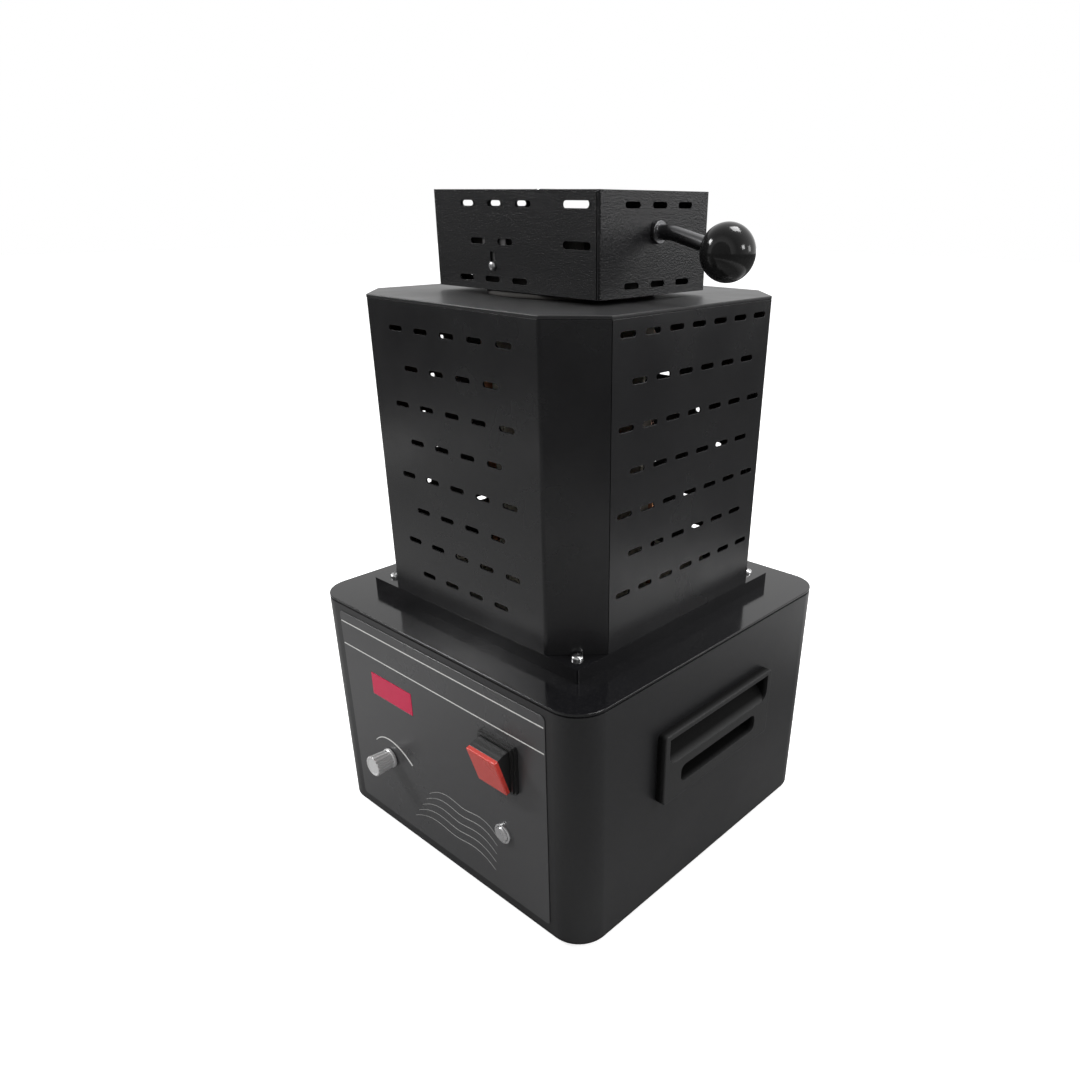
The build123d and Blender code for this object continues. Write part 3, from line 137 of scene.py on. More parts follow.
DIM_SIDE = (0.10, -1.0, 0.0)
world = bpy.data.worlds.new("studio")
bpy.context.scene.world = world
world.use_nodes = True
tree = world.node_tree
sky = tree.nodes["Background"]
sky.inputs["Strength"].default_value = 1.0
way = add_node(tree, "TexCoord")
facing = add_node(tree, "VectorMath", {"operation": "DOT_PRODUCT"})
facing.inputs[1].default_value = DIM_SIDE
tree.links.new(way.outputs["Generated"], facing.inputs[0])
forward = add_node(tree, "MapRange", From_Min=-0.75, From_Max=0.75)
tree.links.new(facing.outputs["Value"], forward.inputs["Value"])
shade = grey_ramp(tree, ((0.0, 0.95), (0.30, 0.75), (0.52, 0.40), (0.75, 0.24), (1.0, 0.20)))
tree.links.new(forward.outputs["Result"], shade.inputs["Fac"])
seen = add_node(tree, "LightPath")
pick = add_node(tree, "Mix", {"data_type": "RGBA"})
pick.inputs["B"].default_value = (1, 1, 1, 1)
tree.links.new(seen.outputs["Is Camera Ray"], pick.inputs["Factor"])
tree.links.new(shade.outputs["Color"], pick.inputs["A"])
tree.links.new(pick.outputs["Result"], sky.inputs["Color"])


def softbox(name, place, target, size, power):
    """Square studio lamp that faces a point."""
    light = bpy.data.lights.new(name, "AREA")
    light.size = size
    light.energy = power
    lamp = bpy.data.objects.new(name, light)
    bpy.context.scene.collection.objects.link(lamp)
    turn = (Vector(target) - Vector(place)).to_track_quat("-Z", "Y").to_matrix().to_4x4()
    lamp.matrix_world = Matrix.Translation(place) @ turn


softbox("lamp_left", (-1.3, -0.9, 1.3), (0, 0, 0.2), 0.45, 18)
softbox("lamp_top", (0.2, 0.6, 1.8), (0, 0, 0.2), 0.6, 16)
softbox("lamp_right", (1.5, 0.3, 0.9), (0, 0, 0.25), 0.3, 6)
softbox("lamp_back_right", (1.35, 1.2, 0.72), (0, 0, 0.40), 0.4, 3)

# ------------------------------------------------------------------ power case: folded shell
# Sheet steel bent round four corners, with a return flange below, in satin black powder coat.
# Its walls are punched for the controls, the grips, the fan, the vents and the cord gland.
MM = 0.001
CASE_SIDE = (-130.0, 130.0)
CASE_LOW, CASE_HIGH = 7.5, 177.0
CASE_CORNER = 22.0
WALL = 1.5
# Spans that a punch crosses, at the walls on the minus and the plus side.
MINUS_WALL, PLUS_WALL = (-134, -126), (126, 134)
WINDOW_AT, KNOB_AT, SWITCH_AT, BUTTON_AT = (-49.0, 125.5), (-59.0, 67.6), (62.5, 123.0), (62.6, 66.8)
FAN_AT, GLAND_AT = (-40.0, 95.0), (95.0, 36.0)


def only(piece):
    """Make one piece the active one and the only one selected."""
    bpy.ops.object.select_all(action="DESELECT")
    piece.select_set(True)
    bpy.context.view_layer.objects.active = piece


def settle(name):
    """Name the new piece, and put its place, turn and scale into its mesh."""
    bpy.ops.object.transform_apply(location=True, rotation=True, scale=True)
    bpy.context.object.name = name
    return bpy.context.object


def box(name, x, y, z):
    """Block between pairs of limits in millimetres."""
    bpy.ops.object.select_all(action="DESELECT")
    middle = [(low + high) / 2 * MM for low, high in (x, y, z)]
    size = [abs(high - low) * MM for low, high in (x, y, z)]
    bpy.ops.mesh.primitive_cube_add(size=1, location=middle, scale=size)
    return settle(name)


def rod(name, radius, start, end, sides=48):
    """Round bar between two points in millimetres."""
    bpy.ops.object.select_all(action="DESELECT")
    start, end = Vector(start), Vector(end)
    turn = (end - start).to_track_quat("Z", "Y").to_euler()
    bpy.ops.mesh.primitive_cylinder_add(
        vertices=sides, radius=radius * MM, depth=(end - start).length * MM,
        location=(start + end) / 2 * MM, rotation=turn)
    return settle(name)


def edit(piece, kind, test):
    """Open a piece with the edges or faces selected that pass a test on their middle and direction."""
    only(piece)
    bpy.ops.object.mode_set(mode="EDIT")
    bpy.ops.mesh.select_mode(type=kind)
    bpy.ops.mesh.select_all(action="DESELECT")
    bpy.ops.object.mode_set(mode="OBJECT")
    mesh = piece.data
    if kind == "EDGE":
        for edge in mesh.edges:
            a, b = (mesh.vertices[v].co / MM for v in edge.vertices)
            edge.select = bool(test((a + b) / 2, (b - a).normalized()))
    else:
        for face in mesh.polygons:
            face.select = bool(test(face.center / MM, face.normal))
    bpy.ops.object.mode_set(mode="EDIT")


def close():
    """Leave edit mode."""
    bpy.ops.object.mode_set(mode="OBJECT")


def round_edges(piece, radius, segments, test):
    """Round the edges that pass a test."""
    edit(piece, "EDGE", test)
    bpy.ops.mesh.bevel(offset=radius * MM, segments=segments, profile=0.5, affect="EDGES")
    close()


def along(axis):
    """Test for edges that run along one axis."""
    return lambda middle, way: abs(way[axis]) > 0.999


def modify(piece, kind, **settings):
    """Add a modifier with these settings and apply it."""
    only(piece)
    modifier = piece.modifiers.new(kind.lower(), kind)
    for name, value in settings.items():
        setattr(modifier, name, value)
    bpy.ops.object.modifier_apply(modifier=modifier.name)


def join(name, pieces):
    """Make several pieces one mesh."""
    only(pieces[0])
    for piece in pieces[1:]:
        piece.select_set(True)
    bpy.ops.object.join()
    pieces[0].name = name
    return pieces[0]


def cut(piece, cutters):
    """Take cutters away from a piece."""
    cutter = join("cutter", list(cutters))
    modify(piece, "BOOLEAN", operation="DIFFERENCE", solver="EXACT", object=cutter)
    bpy.data.objects.remove(cutter)


def soften(piece, width, segments=2, angle=32):
    """Break the sharp edges, then shade flats flat and curves smooth."""
    modify(piece, "BEVEL", width=width * MM, segments=segments, limit_method="ANGLE",
           angle_limit=radians(angle), use_clamp_overlap=True, miter_outer="MITER_ARC")
    shade_piece(piece)


def shade_piece(piece, angle=38):
    """Shade flats flat and curves smooth."""
    only(piece)
    bpy.ops.object.shade_smooth_by_angle(angle=radians(angle))
    modify(piece, "WEIGHTED_NORMAL", keep_sharp=True)


def fit(piece, body, material, slot, *nodes):
    """Give a piece its finish, its body and the CAD nodes that it stands for."""
    piece.data.materials.clear()
    piece.data.materials.append(material)
    piece.data.name = piece.name
    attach(piece, body)
    if nodes:
        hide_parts(*nodes)


def slot_cutter(name, length, height, at, axis, reach=4.0):
    """Punch with round ends for a slot at a point, through a wall that faces X or Y."""
    x, y, z = at
    if axis == 1:
        punch = box(name, (x - length / 2, x + length / 2), (y - reach, y + reach), (z - height / 2, z + height / 2))
    else:
        punch = box(name, (x - reach, x + reach), (y - length / 2, y + length / 2), (z - height / 2, z + height / 2))
    round_edges(punch, 0.49 * height, 4, along(axis))
    return punch


def square_hole(at, half_width, half_height):
    """Punch for an upright rectangle in the front wall, about a point (x, z)."""
    x, z = at
    return box("punch", (x - half_width, x + half_width), MINUS_WALL, (z - half_height, z + half_height))


def round_hole(at, radius, wall, sides):
    """Punch for a round hole in the front or rear wall, about a point (x, z)."""
    x, z = at
    return rod("punch", radius, (x, wall[0], z), (x, wall[1], z), sides)


def control_holes():
    """Punches for the window, the switch, the knob's shaft and the button."""
    return [square_hole(WINDOW_AT, 23, 8.75), square_hole(SWITCH_AT, 14.4, 16.4),
            round_hole(KNOB_AT, 3.7, MINUS_WALL, 24), round_hole(BUTTON_AT, 6.2, MINUS_WALL, 32)]


def new_group(name, inputs, outputs):
    """Empty node group with named inputs and outputs."""
    group = bpy.data.node_groups.new(name, "ShaderNodeTree")
    for label, value in inputs:
        socket = group.interface.new_socket(label, in_out="INPUT", socket_type="NodeSocketFloat")
        socket.default_value = value
    for label, kind in outputs:
        group.interface.new_socket(label, in_out="OUTPUT", socket_type=kind)
    return group, group.nodes.new("NodeGroupInput"), group.nodes.new("NodeGroupOutput")


# Shared finish: a fine bump, and a roughness that wanders a little over the piece.
grain_group, given, result = new_group(
    "surface_grain",
    [("Scale", 500.0), ("Bump", 0.1), ("Smooth", 0.2), ("Rough", 0.3)],
    [("Amount", "NodeSocketFloat"), ("Roughness", "NodeSocketFloat"), ("Normal", "NodeSocketVector")])
where = add_node(grain_group, "TexCoord")
fine = add_node(grain_group, "TexNoise", Detail=3.0, Roughness=0.55)
broad = add_node(grain_group, "TexNoise", Scale=14.0, Detail=4.0, Roughness=0.6)
grain_group.links.new(where.outputs["Object"], fine.inputs["Vector"])
grain_group.links.new(where.outputs["Object"], broad.inputs["Vector"])
grain_group.links.new(given.outputs["Scale"], fine.inputs["Scale"])
bump = add_node(grain_group, "Bump", Distance=0.0004)
grain_group.links.new(given.outputs["Bump"], bump.inputs["Strength"])
grain_group.links.new(fine.outputs["Fac"], bump.inputs["Height"])
spread = add_node(grain_group, "MapRange", From_Min=0.35, From_Max=0.65)
grain_group.links.new(broad.outputs["Fac"], spread.inputs["Value"])
grain_group.links.new(given.outputs["Smooth"], spread.inputs["To Min"])
grain_group.links.new(given.outputs["Rough"], spread.inputs["To Max"])
grain_group.links.new(fine.outputs["Fac"], result.inputs["Amount"])
grain_group.links.new(spread.outputs["Result"], result.inputs["Roughness"])
grain_group.links.new(bump.outputs["Normal"], result.inputs["Normal"])

# Shared dust: thin specks that settle on faces that look up.
dust_group, given, result = new_group("settled_dust", [("Amount", 0.3), ("Scale", 900.0)],
                                      [("Mask", "NodeSocketFloat")])
where = add_node(dust_group, "TexCoord")
split = add_node(dust_group, "SeparateXYZ")
dust_group.links.new(where.outputs["Normal"], split.inputs["Vector"])
level = add_node(dust_group, "MapRange", From_Min=0.5, From_Max=1.0)
dust_group.links.new(split.outputs["Z"], level.inputs["Value"])
specks = add_node(dust_group, "TexNoise", Detail=2.0)
dust_group.links.new(where.outputs["Object"], specks.inputs["Vector"])
dust_group.links.new(given.outputs["Scale"], specks.inputs["Scale"])
sparse = add_node(dust_group, "MapRange", From_Min=0.52, From_Max=0.78)
dust_group.links.new(specks.outputs["Fac"], sparse.inputs["Value"])
both = add_node(dust_group, "Math", {"operation": "MULTIPLY"})
dust_group.links.new(level.outputs["Result"], both.inputs[0])
dust_group.links.new(sparse.outputs["Result"], both.inputs[1])
amount = add_node(dust_group, "Math", {"operation": "MULTIPLY"})
dust_group.links.new(both.outputs[0], amount.inputs[0])
dust_group.links.new(given.outputs["Amount"], amount.inputs[1])
dust_group.links.new(amount.outputs[0], result.inputs["Mask"])
DUST_GREY = (0.32, 0.31, 0.30, 1)


def finish(name, colour, second, grain, dust=0.0, metallic=0.0, coat=0.0, specular=0.5):
    """Finish with two close colours, a surface grain (scale, bump, smooth, rough) and some dust."""
    material = bpy.data.materials.new(name)
    material.use_nodes = True
    tree = material.node_tree
    shader = tree.nodes["Principled BSDF"]
    shader.inputs["Metallic"].default_value = metallic
    shader.inputs["Coat Weight"].default_value = coat
    shader.inputs["Specular IOR Level"].default_value = specular
    grains = add_node(tree, "Group", {"node_tree": grain_group})
    for label, value in zip(("Scale", "Bump", "Smooth", "Rough"), grain):
        grains.inputs[label].default_value = value
    colours = add_node(tree, "Mix", {"data_type": "RGBA"})
    colours.inputs["A"].default_value = (*colour, 1)
    colours.inputs["B"].default_value = (*second, 1)
    tree.links.new(grains.outputs["Amount"], colours.inputs["Factor"])
    tree.links.new(grains.outputs["Roughness"], shader.inputs["Roughness"])
    tree.links.new(grains.outputs["Normal"], shader.inputs["Normal"])
    last = colours.outputs["Result"]
    if dust:
        settled = add_node(tree, "Group", {"node_tree": dust_group})
        settled.inputs["Amount"].default_value = dust
        powder = add_node(tree, "Mix", {"data_type": "RGBA"})
        powder.inputs["B"].default_value = DUST_GREY
        tree.links.new(settled.outputs["Mask"], powder.inputs["Factor"])
        tree.links.new(last, powder.inputs["A"])
        last = powder.outputs["Result"]
    tree.links.new(last, shader.inputs["Base Color"])
    return material


case_paint = finish("case_paint", (0.009, 0.009, 0.010), (0.014, 0.014, 0.015),
                    (420.0, 0.05, 0.30, 0.38), dust=0.10, specular=0.45)

shell = box("case_shell_piece", CASE_SIDE, CASE_SIDE, (CASE_LOW, CASE_HIGH))
round_edges(shell, CASE_CORNER, 14, along(2))
edit(shell, "FACE", lambda middle, normal: normal.z > 0.9)
bpy.ops.mesh.delete(type="ONLY_FACE")
close()
edit(shell, "FACE", lambda middle, normal: normal.z < -0.9)
bpy.ops.mesh.inset(thickness=16 * MM)
bpy.ops.mesh.delete(type="ONLY_FACE")
close()
modify(shell, "SOLIDIFY", thickness=WALL * MM, offset=-1)
openings = control_holes() + [round_hole(FAN_AT, 43.0, PLUS_WALL, 72), round_hole(GLAND_AT, 9.2, PLUS_WALL, 32)]
openings += [slot_cutter("vent", 46, 4, (62, 130, 60 + 10 * k), 1) for k in range(6)]
openings += [box("grip_hole", span, (-57.8, 57.8), (93.2, 136.8)) for span in (MINUS_WALL, PLUS_WALL)]
cut(shell, openings)
soften(shell, 0.3, 2)
fit(shell, "furnace", case_paint, "case_paint", "case_shell")

# ------------------------------------------------------------------ power case: top and bottom plates
# The top is a flat sheet in a glossier black coat; it sits a hair above the walls, which leaves a dark seam.
# The bottom is a flat sheet that closes the case and carries the feet.
CASE_TOP_LOW, CASE_TOP_HIGH = 177.8, 179.5
WELL_R = 70
case_top_paint = finish("case_top_paint", (0.004, 0.004, 0.005), (0.007, 0.007, 0.008),
                        (420.0, 0.05, 0.10, 0.16), dust=0.03)


def add_to(piece, other):
    """Weld a second solid to a piece."""
    modify(piece, "BOOLEAN", operation="UNION", solver="EXACT", object=other)
    bpy.data.objects.remove(other)


top = box("case_top_piece", CASE_SIDE, CASE_SIDE, (CASE_TOP_LOW, CASE_TOP_HIGH))
round_edges(top, CASE_CORNER, 14, along(2))
step = box("step", (-129, 129), (-129, 129), (CASE_HIGH, 178.2))
round_edges(step, CASE_CORNER - 1, 14, along(2))
add_to(top, step)
cut(top, [rod("hole", WELL_R, (0, 0, 170), (0, 0, 185), 96)])
soften(top, 0.55, 3)
fit(top, "furnace", case_top_paint, "case_paint", "case_top_plate")

bottom = box("case_bottom_piece", CASE_SIDE, CASE_SIDE, (6.0, CASE_LOW))
round_edges(bottom, CASE_CORNER, 14, along(2))
soften(bottom, 0.4, 2)
fit(bottom, "furnace", case_paint, "case_paint", "bottom_plate")

# ------------------------------------------------------------------ rubber feet and their screws
# Four tapered rubber feet, moulded, each bored from below for its screw.
# The screws are bright plated pan heads that go up into the case's flange.
SQUARE = ((1, -1), (1, 1), (-1, 1), (-1, -1))
FOOT_AT = 100
foot_rubber = finish("foot_rubber", (0.018, 0.018, 0.018), (0.03, 0.03, 0.03), (900.0, 0.25, 0.6, 0.75))


def lathe(name, profile, place=(0, 0, 0), way=(0, 0, 1), steps=48):
    """Turned piece: a profile of radius and height pairs, spun about an axis through a place."""
    mesh = bpy.data.meshes.new(name)
    mesh.from_pydata([(r * MM, 0, h * MM) for r, h in profile], [(k, k + 1) for k in range(len(profile) - 1)], [])
    piece = bpy.data.objects.new(name, mesh)
    bpy.context.scene.collection.objects.link(piece)
    only(piece)
    bpy.ops.object.mode_set(mode="EDIT")
    bpy.ops.mesh.select_all(action="SELECT")
    bpy.ops.mesh.spin(steps=steps, angle=tau, center=(0, 0, 0), axis=(0, 0, 1))
    bpy.ops.mesh.select_all(action="SELECT")
    bpy.ops.mesh.remove_doubles(threshold=1e-6)
    bpy.ops.mesh.normals_make_consistent(inside=False)
    close()
    turn = Vector(way).to_track_quat("Z", "Y").to_matrix().to_4x4()
    piece.data.transform(Matrix.Translation(Vector(place) * MM) @ turn)
    return piece


feet = []
for sx, sy in SQUARE:
    feet.append(lathe("foot", [(2.2, 6), (11, 6), (11, 5.4), (10.2, 2.4), (9.7, 0.5), (9.2, 0), (5.4, 0), (5, 0.4),
                               (5, 3), (2.2, 3), (2.2, 6)], (sx * FOOT_AT, sy * FOOT_AT, 0)))
feet = join("rubber_feet_piece", feet)
shade_piece(feet, 40)
fit(feet, "furnace", foot_rubber, "foot_rubber", "rubber_feet")

bright_screw = finish("bright_screw", (0.62, 0.62, 0.63), (0.72, 0.72, 0.72), (700.0, 0.06, 0.16, 0.30), metallic=1.0)


def copy_of(piece, step=(0, 0, 0), turn=None):
    """Copy of a piece with its own mesh, turned and then moved in millimetres."""
    twin = piece.copy()
    twin.data = piece.data.copy()
    bpy.context.scene.collection.objects.link(twin)
    if turn:
        twin.data.transform(turn)
    twin.data.transform(Matrix.Translation(Vector(step) * MM))
    return twin


def pan_screw(name, head, height, shank, length, place, way):
    """Pan-head machine screw with a cross recess, pointing against its way."""
    dome = [(head * sin(radians(a)), height * (0.35 + 0.65 * cos(radians(a)))) for a in (0, 20, 40, 60, 78, 90)]
    profile = dome + [(head, 0), (shank, 0), (shank, -length), (0, -length)]
    screw = lathe(name, profile, steps=32)
    arms = [box("arm", (-0.55 * head, 0.55 * head), (-0.11 * head, 0.11 * head), (0.45 * height, 2 * height))]
    arms.append(copy_of(arms[0], turn=Matrix.Rotation(pi / 2, 4, "Z")))
    for arm in arms:
        cut(screw, [arm])
    turn = Vector(way).to_track_quat("Z", "Y").to_matrix().to_4x4() @ Matrix.Rotation(radians(24), 4, "Z")
    screw.data.transform(Matrix.Translation(Vector(place) * MM) @ turn)
    shade_piece(screw, 35)
    return screw


foot_screws = [pan_screw("screw", head=4.2, height=2.2, shank=2.0, length=9.5,
                         place=(sx * FOOT_AT, sy * FOOT_AT, 3), way=(0, 0, -1)) for sx, sy in SQUARE]
foot_screws = join("foot_screws_piece", foot_screws)
fit(foot_screws, "furnace", bright_screw, "plain_steel", "foot_screws")

# ------------------------------------------------------------------ side grips
# Moulded black plastic plates with a finger slot into a closed pocket and a scoop under the upper lip.
# The left one is the mirror image of the right one; both clip into the case walls.
# Its black is partly the plastic's own and partly painted sheen, lifted in place of the reflection that its low
# specular takes away.
grip_moulding = finish("grip_moulding", (0.028, 0.028, 0.028), (0.034, 0.034, 0.035), (1300.0, 0.10, 0.34, 0.46),
                       specular=0.16)
# The scoop's wall is painted near black, as painted shade for the deep pocket under the lip, and made dull.
SCOOP_PAINTED_SHADE, SCOOP_ROUGH = (0.002, 0.002, 0.002, 1), 0.8
tree = grip_moulding.node_tree
shader = tree.nodes["Principled BSDF"]
where = add_node(tree, "TexCoord")
split = add_node(tree, "SeparateXYZ")
tree.links.new(where.outputs["Object"], split.inputs["Vector"])
inward = add_node(tree, "Math", {"operation": "ABSOLUTE"})
tree.links.new(split.outputs["X"], inward.inputs[0])
outside = add_node(tree, "MapRange", From_Min=0.1325, From_Max=0.1362)
tree.links.new(inward.outputs[0], outside.inputs["Value"])
polished = shader.inputs["Base Color"].links[0].from_socket
worn = shader.inputs["Roughness"].links[0].from_socket
# Inside the scoop the moulding's colour gives way to the painted shade.
scoop_painted_shade = add_node(tree, "Mix", {"data_type": "RGBA"})
scoop_painted_shade.inputs["A"].default_value = SCOOP_PAINTED_SHADE
tree.links.new(outside.outputs["Result"], scoop_painted_shade.inputs["Factor"])
tree.links.new(polished, scoop_painted_shade.inputs["B"])
tree.links.new(scoop_painted_shade.outputs["Result"], shader.inputs["Base Color"])
dull = add_node(tree, "MapRange")
dull.inputs["To Min"].default_value = SCOOP_ROUGH
tree.links.new(outside.outputs["Result"], dull.inputs["Value"])
tree.links.new(worn, dull.inputs["To Max"])
tree.links.new(dull.outputs["Result"], shader.inputs["Roughness"])


def shave(piece, point, normal):
    """Plane off what lies behind a point, and close the cut."""
    edit(piece, "FACE", lambda middle, way: True)
    bpy.ops.mesh.bisect(plane_co=Vector(point) * MM, plane_no=normal, clear_inner=True, use_fill=True)
    close()


grip = box("side_grip_right_piece", (130, 136.5), (-60, 60), (86, 138))
round_edges(grip, 3.0, 5, along(0))
round_edges(grip, 1.0, 3, lambda middle, way: middle.x > 136.4)
pocket = box("pocket", (106, 131), (-44.5, 44.5), (93.5, 110.5))
add_to(grip, pocket)
slot_shape = box("slot", (108, 140), (-42.5, 42.5), (95.5, 108.5))
round_edges(slot_shape, 4.5, 5, along(0))
cut(grip, [slot_shape])
wedge = box("wedge", (117.0, 131), (-57.5, 57.5), (113, 136.5))
add_to(grip, wedge)
scoop = box("scoop", (118.5, 142), (-55.5, 55.5), (115, 134.5))
round_edges(scoop, 7.0, 6, lambda middle, way: abs(way.x) > 0.99 and middle.z < 120)
shave(scoop, (136.5, 0, 115), (4, 0, 6))
shave(scoop, (130.5, 0, 119), (3, 0, 11))
cut(grip, [scoop])
soften(grip, 0.5, 3, 40)
fit(grip, "furnace", grip_moulding, "black_moulding", "side_grip_right")
left_grip = copy_of(grip, turn=Matrix.Scale(-1, 4, (1, 0, 0)))
left_grip.name = "side_grip_left_piece"
edit(left_grip, "FACE", lambda middle, normal: True)
bpy.ops.mesh.normals_make_consistent(inside=False)
close()
fit(left_grip, "furnace", grip_moulding, "black_moulding", "side_grip_left")

# ------------------------------------------------------------------ front overlay and its print
# Thin dark satin sheet glued to the front wall, cut out for the controls.
# The light rules, the dial's arc and the plain wave lines are ink on it.
PANEL_Y = -130.5
# The film's grey is partly the sheet's own dark grey and partly painted sheen, lifted to stand in for the soft gloss
# the panel shows.
panel_film = finish("panel_film", (0.058, 0.058, 0.060), (0.066, 0.066, 0.068), (1600.0, 0.05, 0.26, 0.34))
overlay = box("front_overlay_piece", (-103, 103), (PANEL_Y, -130.02), (14, 172))
round_edges(overlay, 3.0, 5, along(1))
cut(overlay, control_holes())
soften(overlay, 0.12, 1)
fit(overlay, "furnace", panel_film, "panel_print", "front_overlay")

white_ink = finish("white_ink", (0.80, 0.80, 0.78), (0.88, 0.88, 0.86), (1500.0, 0.03, 0.45, 0.55))
grey_ink = finish("grey_ink", (0.46, 0.46, 0.45), (0.54, 0.54, 0.53), (1500.0, 0.03, 0.45, 0.55))
INK_Y = (-130.56, -130.48)


def ink_line(points, width, start_width=1.0, end_width=1.0, middle_width=1.0):
    """Flat printed stroke through panel points (x, z), its width set at the start, middle and end."""
    curve = bpy.data.curves.new("stroke", "CURVE")
    curve.dimensions = "2D"
    curve.fill_mode = "NONE"
    spline = curve.splines.new("NURBS")
    spline.points.add(len(points) - 1)
    spline.order_u = min(4, len(points))
    spline.use_endpoint_u = True
    for point, (x, z) in zip(spline.points, points):
        point.co = (x * MM, z * MM, 0, 1)
    line = bpy.data.objects.new("stroke", curve)
    bpy.context.scene.collection.objects.link(line)
    only(line)
    bpy.ops.object.convert(target="MESH")
    line = bpy.context.object
    centre = [v.co.copy() for v in line.data.vertices]
    last = len(centre) - 1
    rims = []
    for k, point in enumerate(centre):
        way = (centre[min(k + 1, last)] - centre[max(k - 1, 0)]).normalized()
        t = k / last
        grow = start_width * (1 - t) ** 2 + 2 * middle_width * t * (1 - t) + end_width * t * t
        across = Vector((-way.y, way.x, 0)) * (width * grow / 2 * MM)
        rims.append((point - across, point + across))
    corners = []
    for y in INK_Y:
        corners += [(p.x, y * MM, p.y) for low, high in rims for p in (low, high)]
    n = 2 * len(rims)
    faces = []
    for k in range(last):
        a, b, c, d = 2 * k, 2 * k + 1, 2 * k + 3, 2 * k + 2
        faces += [(a, b, c, d), (n + d, n + c, n + b, n + a), (a, d, n + d, n + a), (b, n + b, n + c, c)]
    faces += [(0, n, n + 1, 1), (n - 2, n - 1, 2 * n - 1, 2 * n - 2)]
    mesh = bpy.data.meshes.new("stroke")
    mesh.from_pydata(corners, [], faces)
    line.data = mesh
    edit(line, "FACE", lambda middle, normal: True)
    bpy.ops.mesh.normals_make_consistent(inside=False)
    close()
    return line


rules = [box("rule", (-102, 102), INK_Y, (z - 0.45, z + 0.45)) for z in (164.5, 146.6)]
arc = ink_line([(-76.6, 74.8), (-71.0, 80.6), (-61.5, 83.3), (-50.0, 82.0), (-40.0, 77.6), (-33.4, 72.2)],
               1.5, 0.35, 1.1, 1.0)
white_print = join("panel_rules_and_arc", rules + [arc])
shade_piece(white_print)
fit(white_print, "furnace", white_ink, "panel_print")

waves = []
for k in range(5):
    rise = 7.5 * k
    waves.append(ink_line([(-36 + 5 * k, 27 + rise), (-14 + 4 * k, 41 + rise), (10 + 3 * k, 27 + rise),
                           (34 + 2 * k, 41 + rise), (52 + k, 29 + rise)], 0.75, 0.3, 0.5, 1.1))
grey_print = join("panel_wave_lines", waves)
shade_piece(grey_print)
fit(grey_print, "furnace", grey_ink, "panel_print")

# ------------------------------------------------------------------ display window
# Red acrylic pane, pushed in from behind until its rim meets the panel.
# The board behind it is green laminate and carries three digit blocks.
window_red = finish("window_red", (0.72, 0.006, 0.075), (0.82, 0.009, 0.095), (60.0, 0.0, 0.16, 0.24), specular=0.35)
pane = box("display_window_piece", (-71.9, -26.1), (-130.7, -128.5), (116.85, 134.15))
round_edges(pane, 0.8, 3, along(1))
rim = box("rim", (-74.5, -23.5), (-128.5, -127.0), (114.25, 136.75))
add_to(pane, rim)
soften(pane, 0.3, 2)
fit(pane, "furnace", window_red, "window_red", "display_window")


def finish_nodes(names, material):
    """Give carried-over CAD nodes their finish."""
    for name in names.split():
        node = frame["nodes"][name]
        if not node.material_slots:
            node.data.materials.append(material)
        for place in node.material_slots:
            place.material = material


circuit_board = finish("circuit_board", (0.012, 0.085, 0.035), (0.02, 0.12, 0.05), (300.0, 0.05, 0.35, 0.5))
finish_nodes("display_board", circuit_board)

# ------------------------------------------------------------------ power knob and its control
# Silver-coated knob with a skirt and sixteen flutes, turned and milled.
# It is pressed on the round steel shaft of a control that stands behind the panel.
plain_steel = finish("plain_steel", (0.40, 0.40, 0.41), (0.50, 0.50, 0.51), (350.0, 0.06, 0.30, 0.45), metallic=1.0)
knob_silver = finish("knob_silver", (0.82, 0.82, 0.82), (0.88, 0.88, 0.88), (500.0, 0.04, 0.28, 0.38), metallic=0.35)
finish_nodes("potentiometer pot_shaft", plain_steel)
KNOB_FRONT, KNOB_BACK = -147.0, -131.1
FLUTES = 16
face = [(0, 0.5), (5.8, 0.5), (6.3, 0.1), (6.9, 0), (7.5, 0.3), (7.8, 0.9)]
skirt = [(6.95, 13.6), (7.2, 13.9), (7.4, 14.2), (7.4, 15.6), (7.2, 15.9), (6.0, 15.9)]
bore = [(6.0, 11.7), (3.0, 11.7), (3.0, 3.0), (0, 3.0)]
knob = lathe("knob_piece", face + skirt + bore, (KNOB_AT[0], KNOB_FRONT, KNOB_AT[1]), (0, 1, 0), 96)
flutes = []
for k in range(FLUTES):
    angle = tau * k / FLUTES
    start = (KNOB_AT[0] + 8.15 * cos(angle), KNOB_FRONT - 2, KNOB_AT[1] + 8.15 * sin(angle))
    end = (KNOB_AT[0] + 7.2 * cos(angle), KNOB_BACK - 2.7, KNOB_AT[1] + 7.2 * sin(angle))
    flutes.append(rod("flute", 0.85, start, end, 16))
cut(knob, flutes)
soften(knob, 0.12, 2, 40)
fit(knob, "power_knob", knob_silver, "knob_silver", "knob")

# ------------------------------------------------------------------ rocker switch
# Black moulded housing in two steps, snapped into the wall.
# A black rocker with a red lens on its face tips on two pins in the housing.
black_moulding = finish("black_moulding", (0.014, 0.014, 0.014), (0.02, 0.02, 0.021), (1300.0, 0.10, 0.30, 0.42),
                        dust=0.08)
switch_red = finish("switch_red", (0.80, 0.060, 0.045), (0.86, 0.080, 0.060), (900.0, 0.03, 0.22, 0.30), coat=0.2)
x, z = SWITCH_AT
housing = box("switch_housing_piece", (x - 16.75, x + 16.75), (-133.0, PANEL_Y), (z - 17.3, z + 17.3))
round_edges(housing, 2.0, 4, along(1))
collar = box("collar", (x - 15.4, x + 15.4), (-134.5, PANEL_Y), (z - 16.4, z + 16.4))
round_edges(collar, 1.6, 4, along(1))
add_to(housing, collar)
add_to(housing, box("body", (x - 14.2, x + 14.2), (-130.6, -108), (z - 16.2, z + 16.2)))
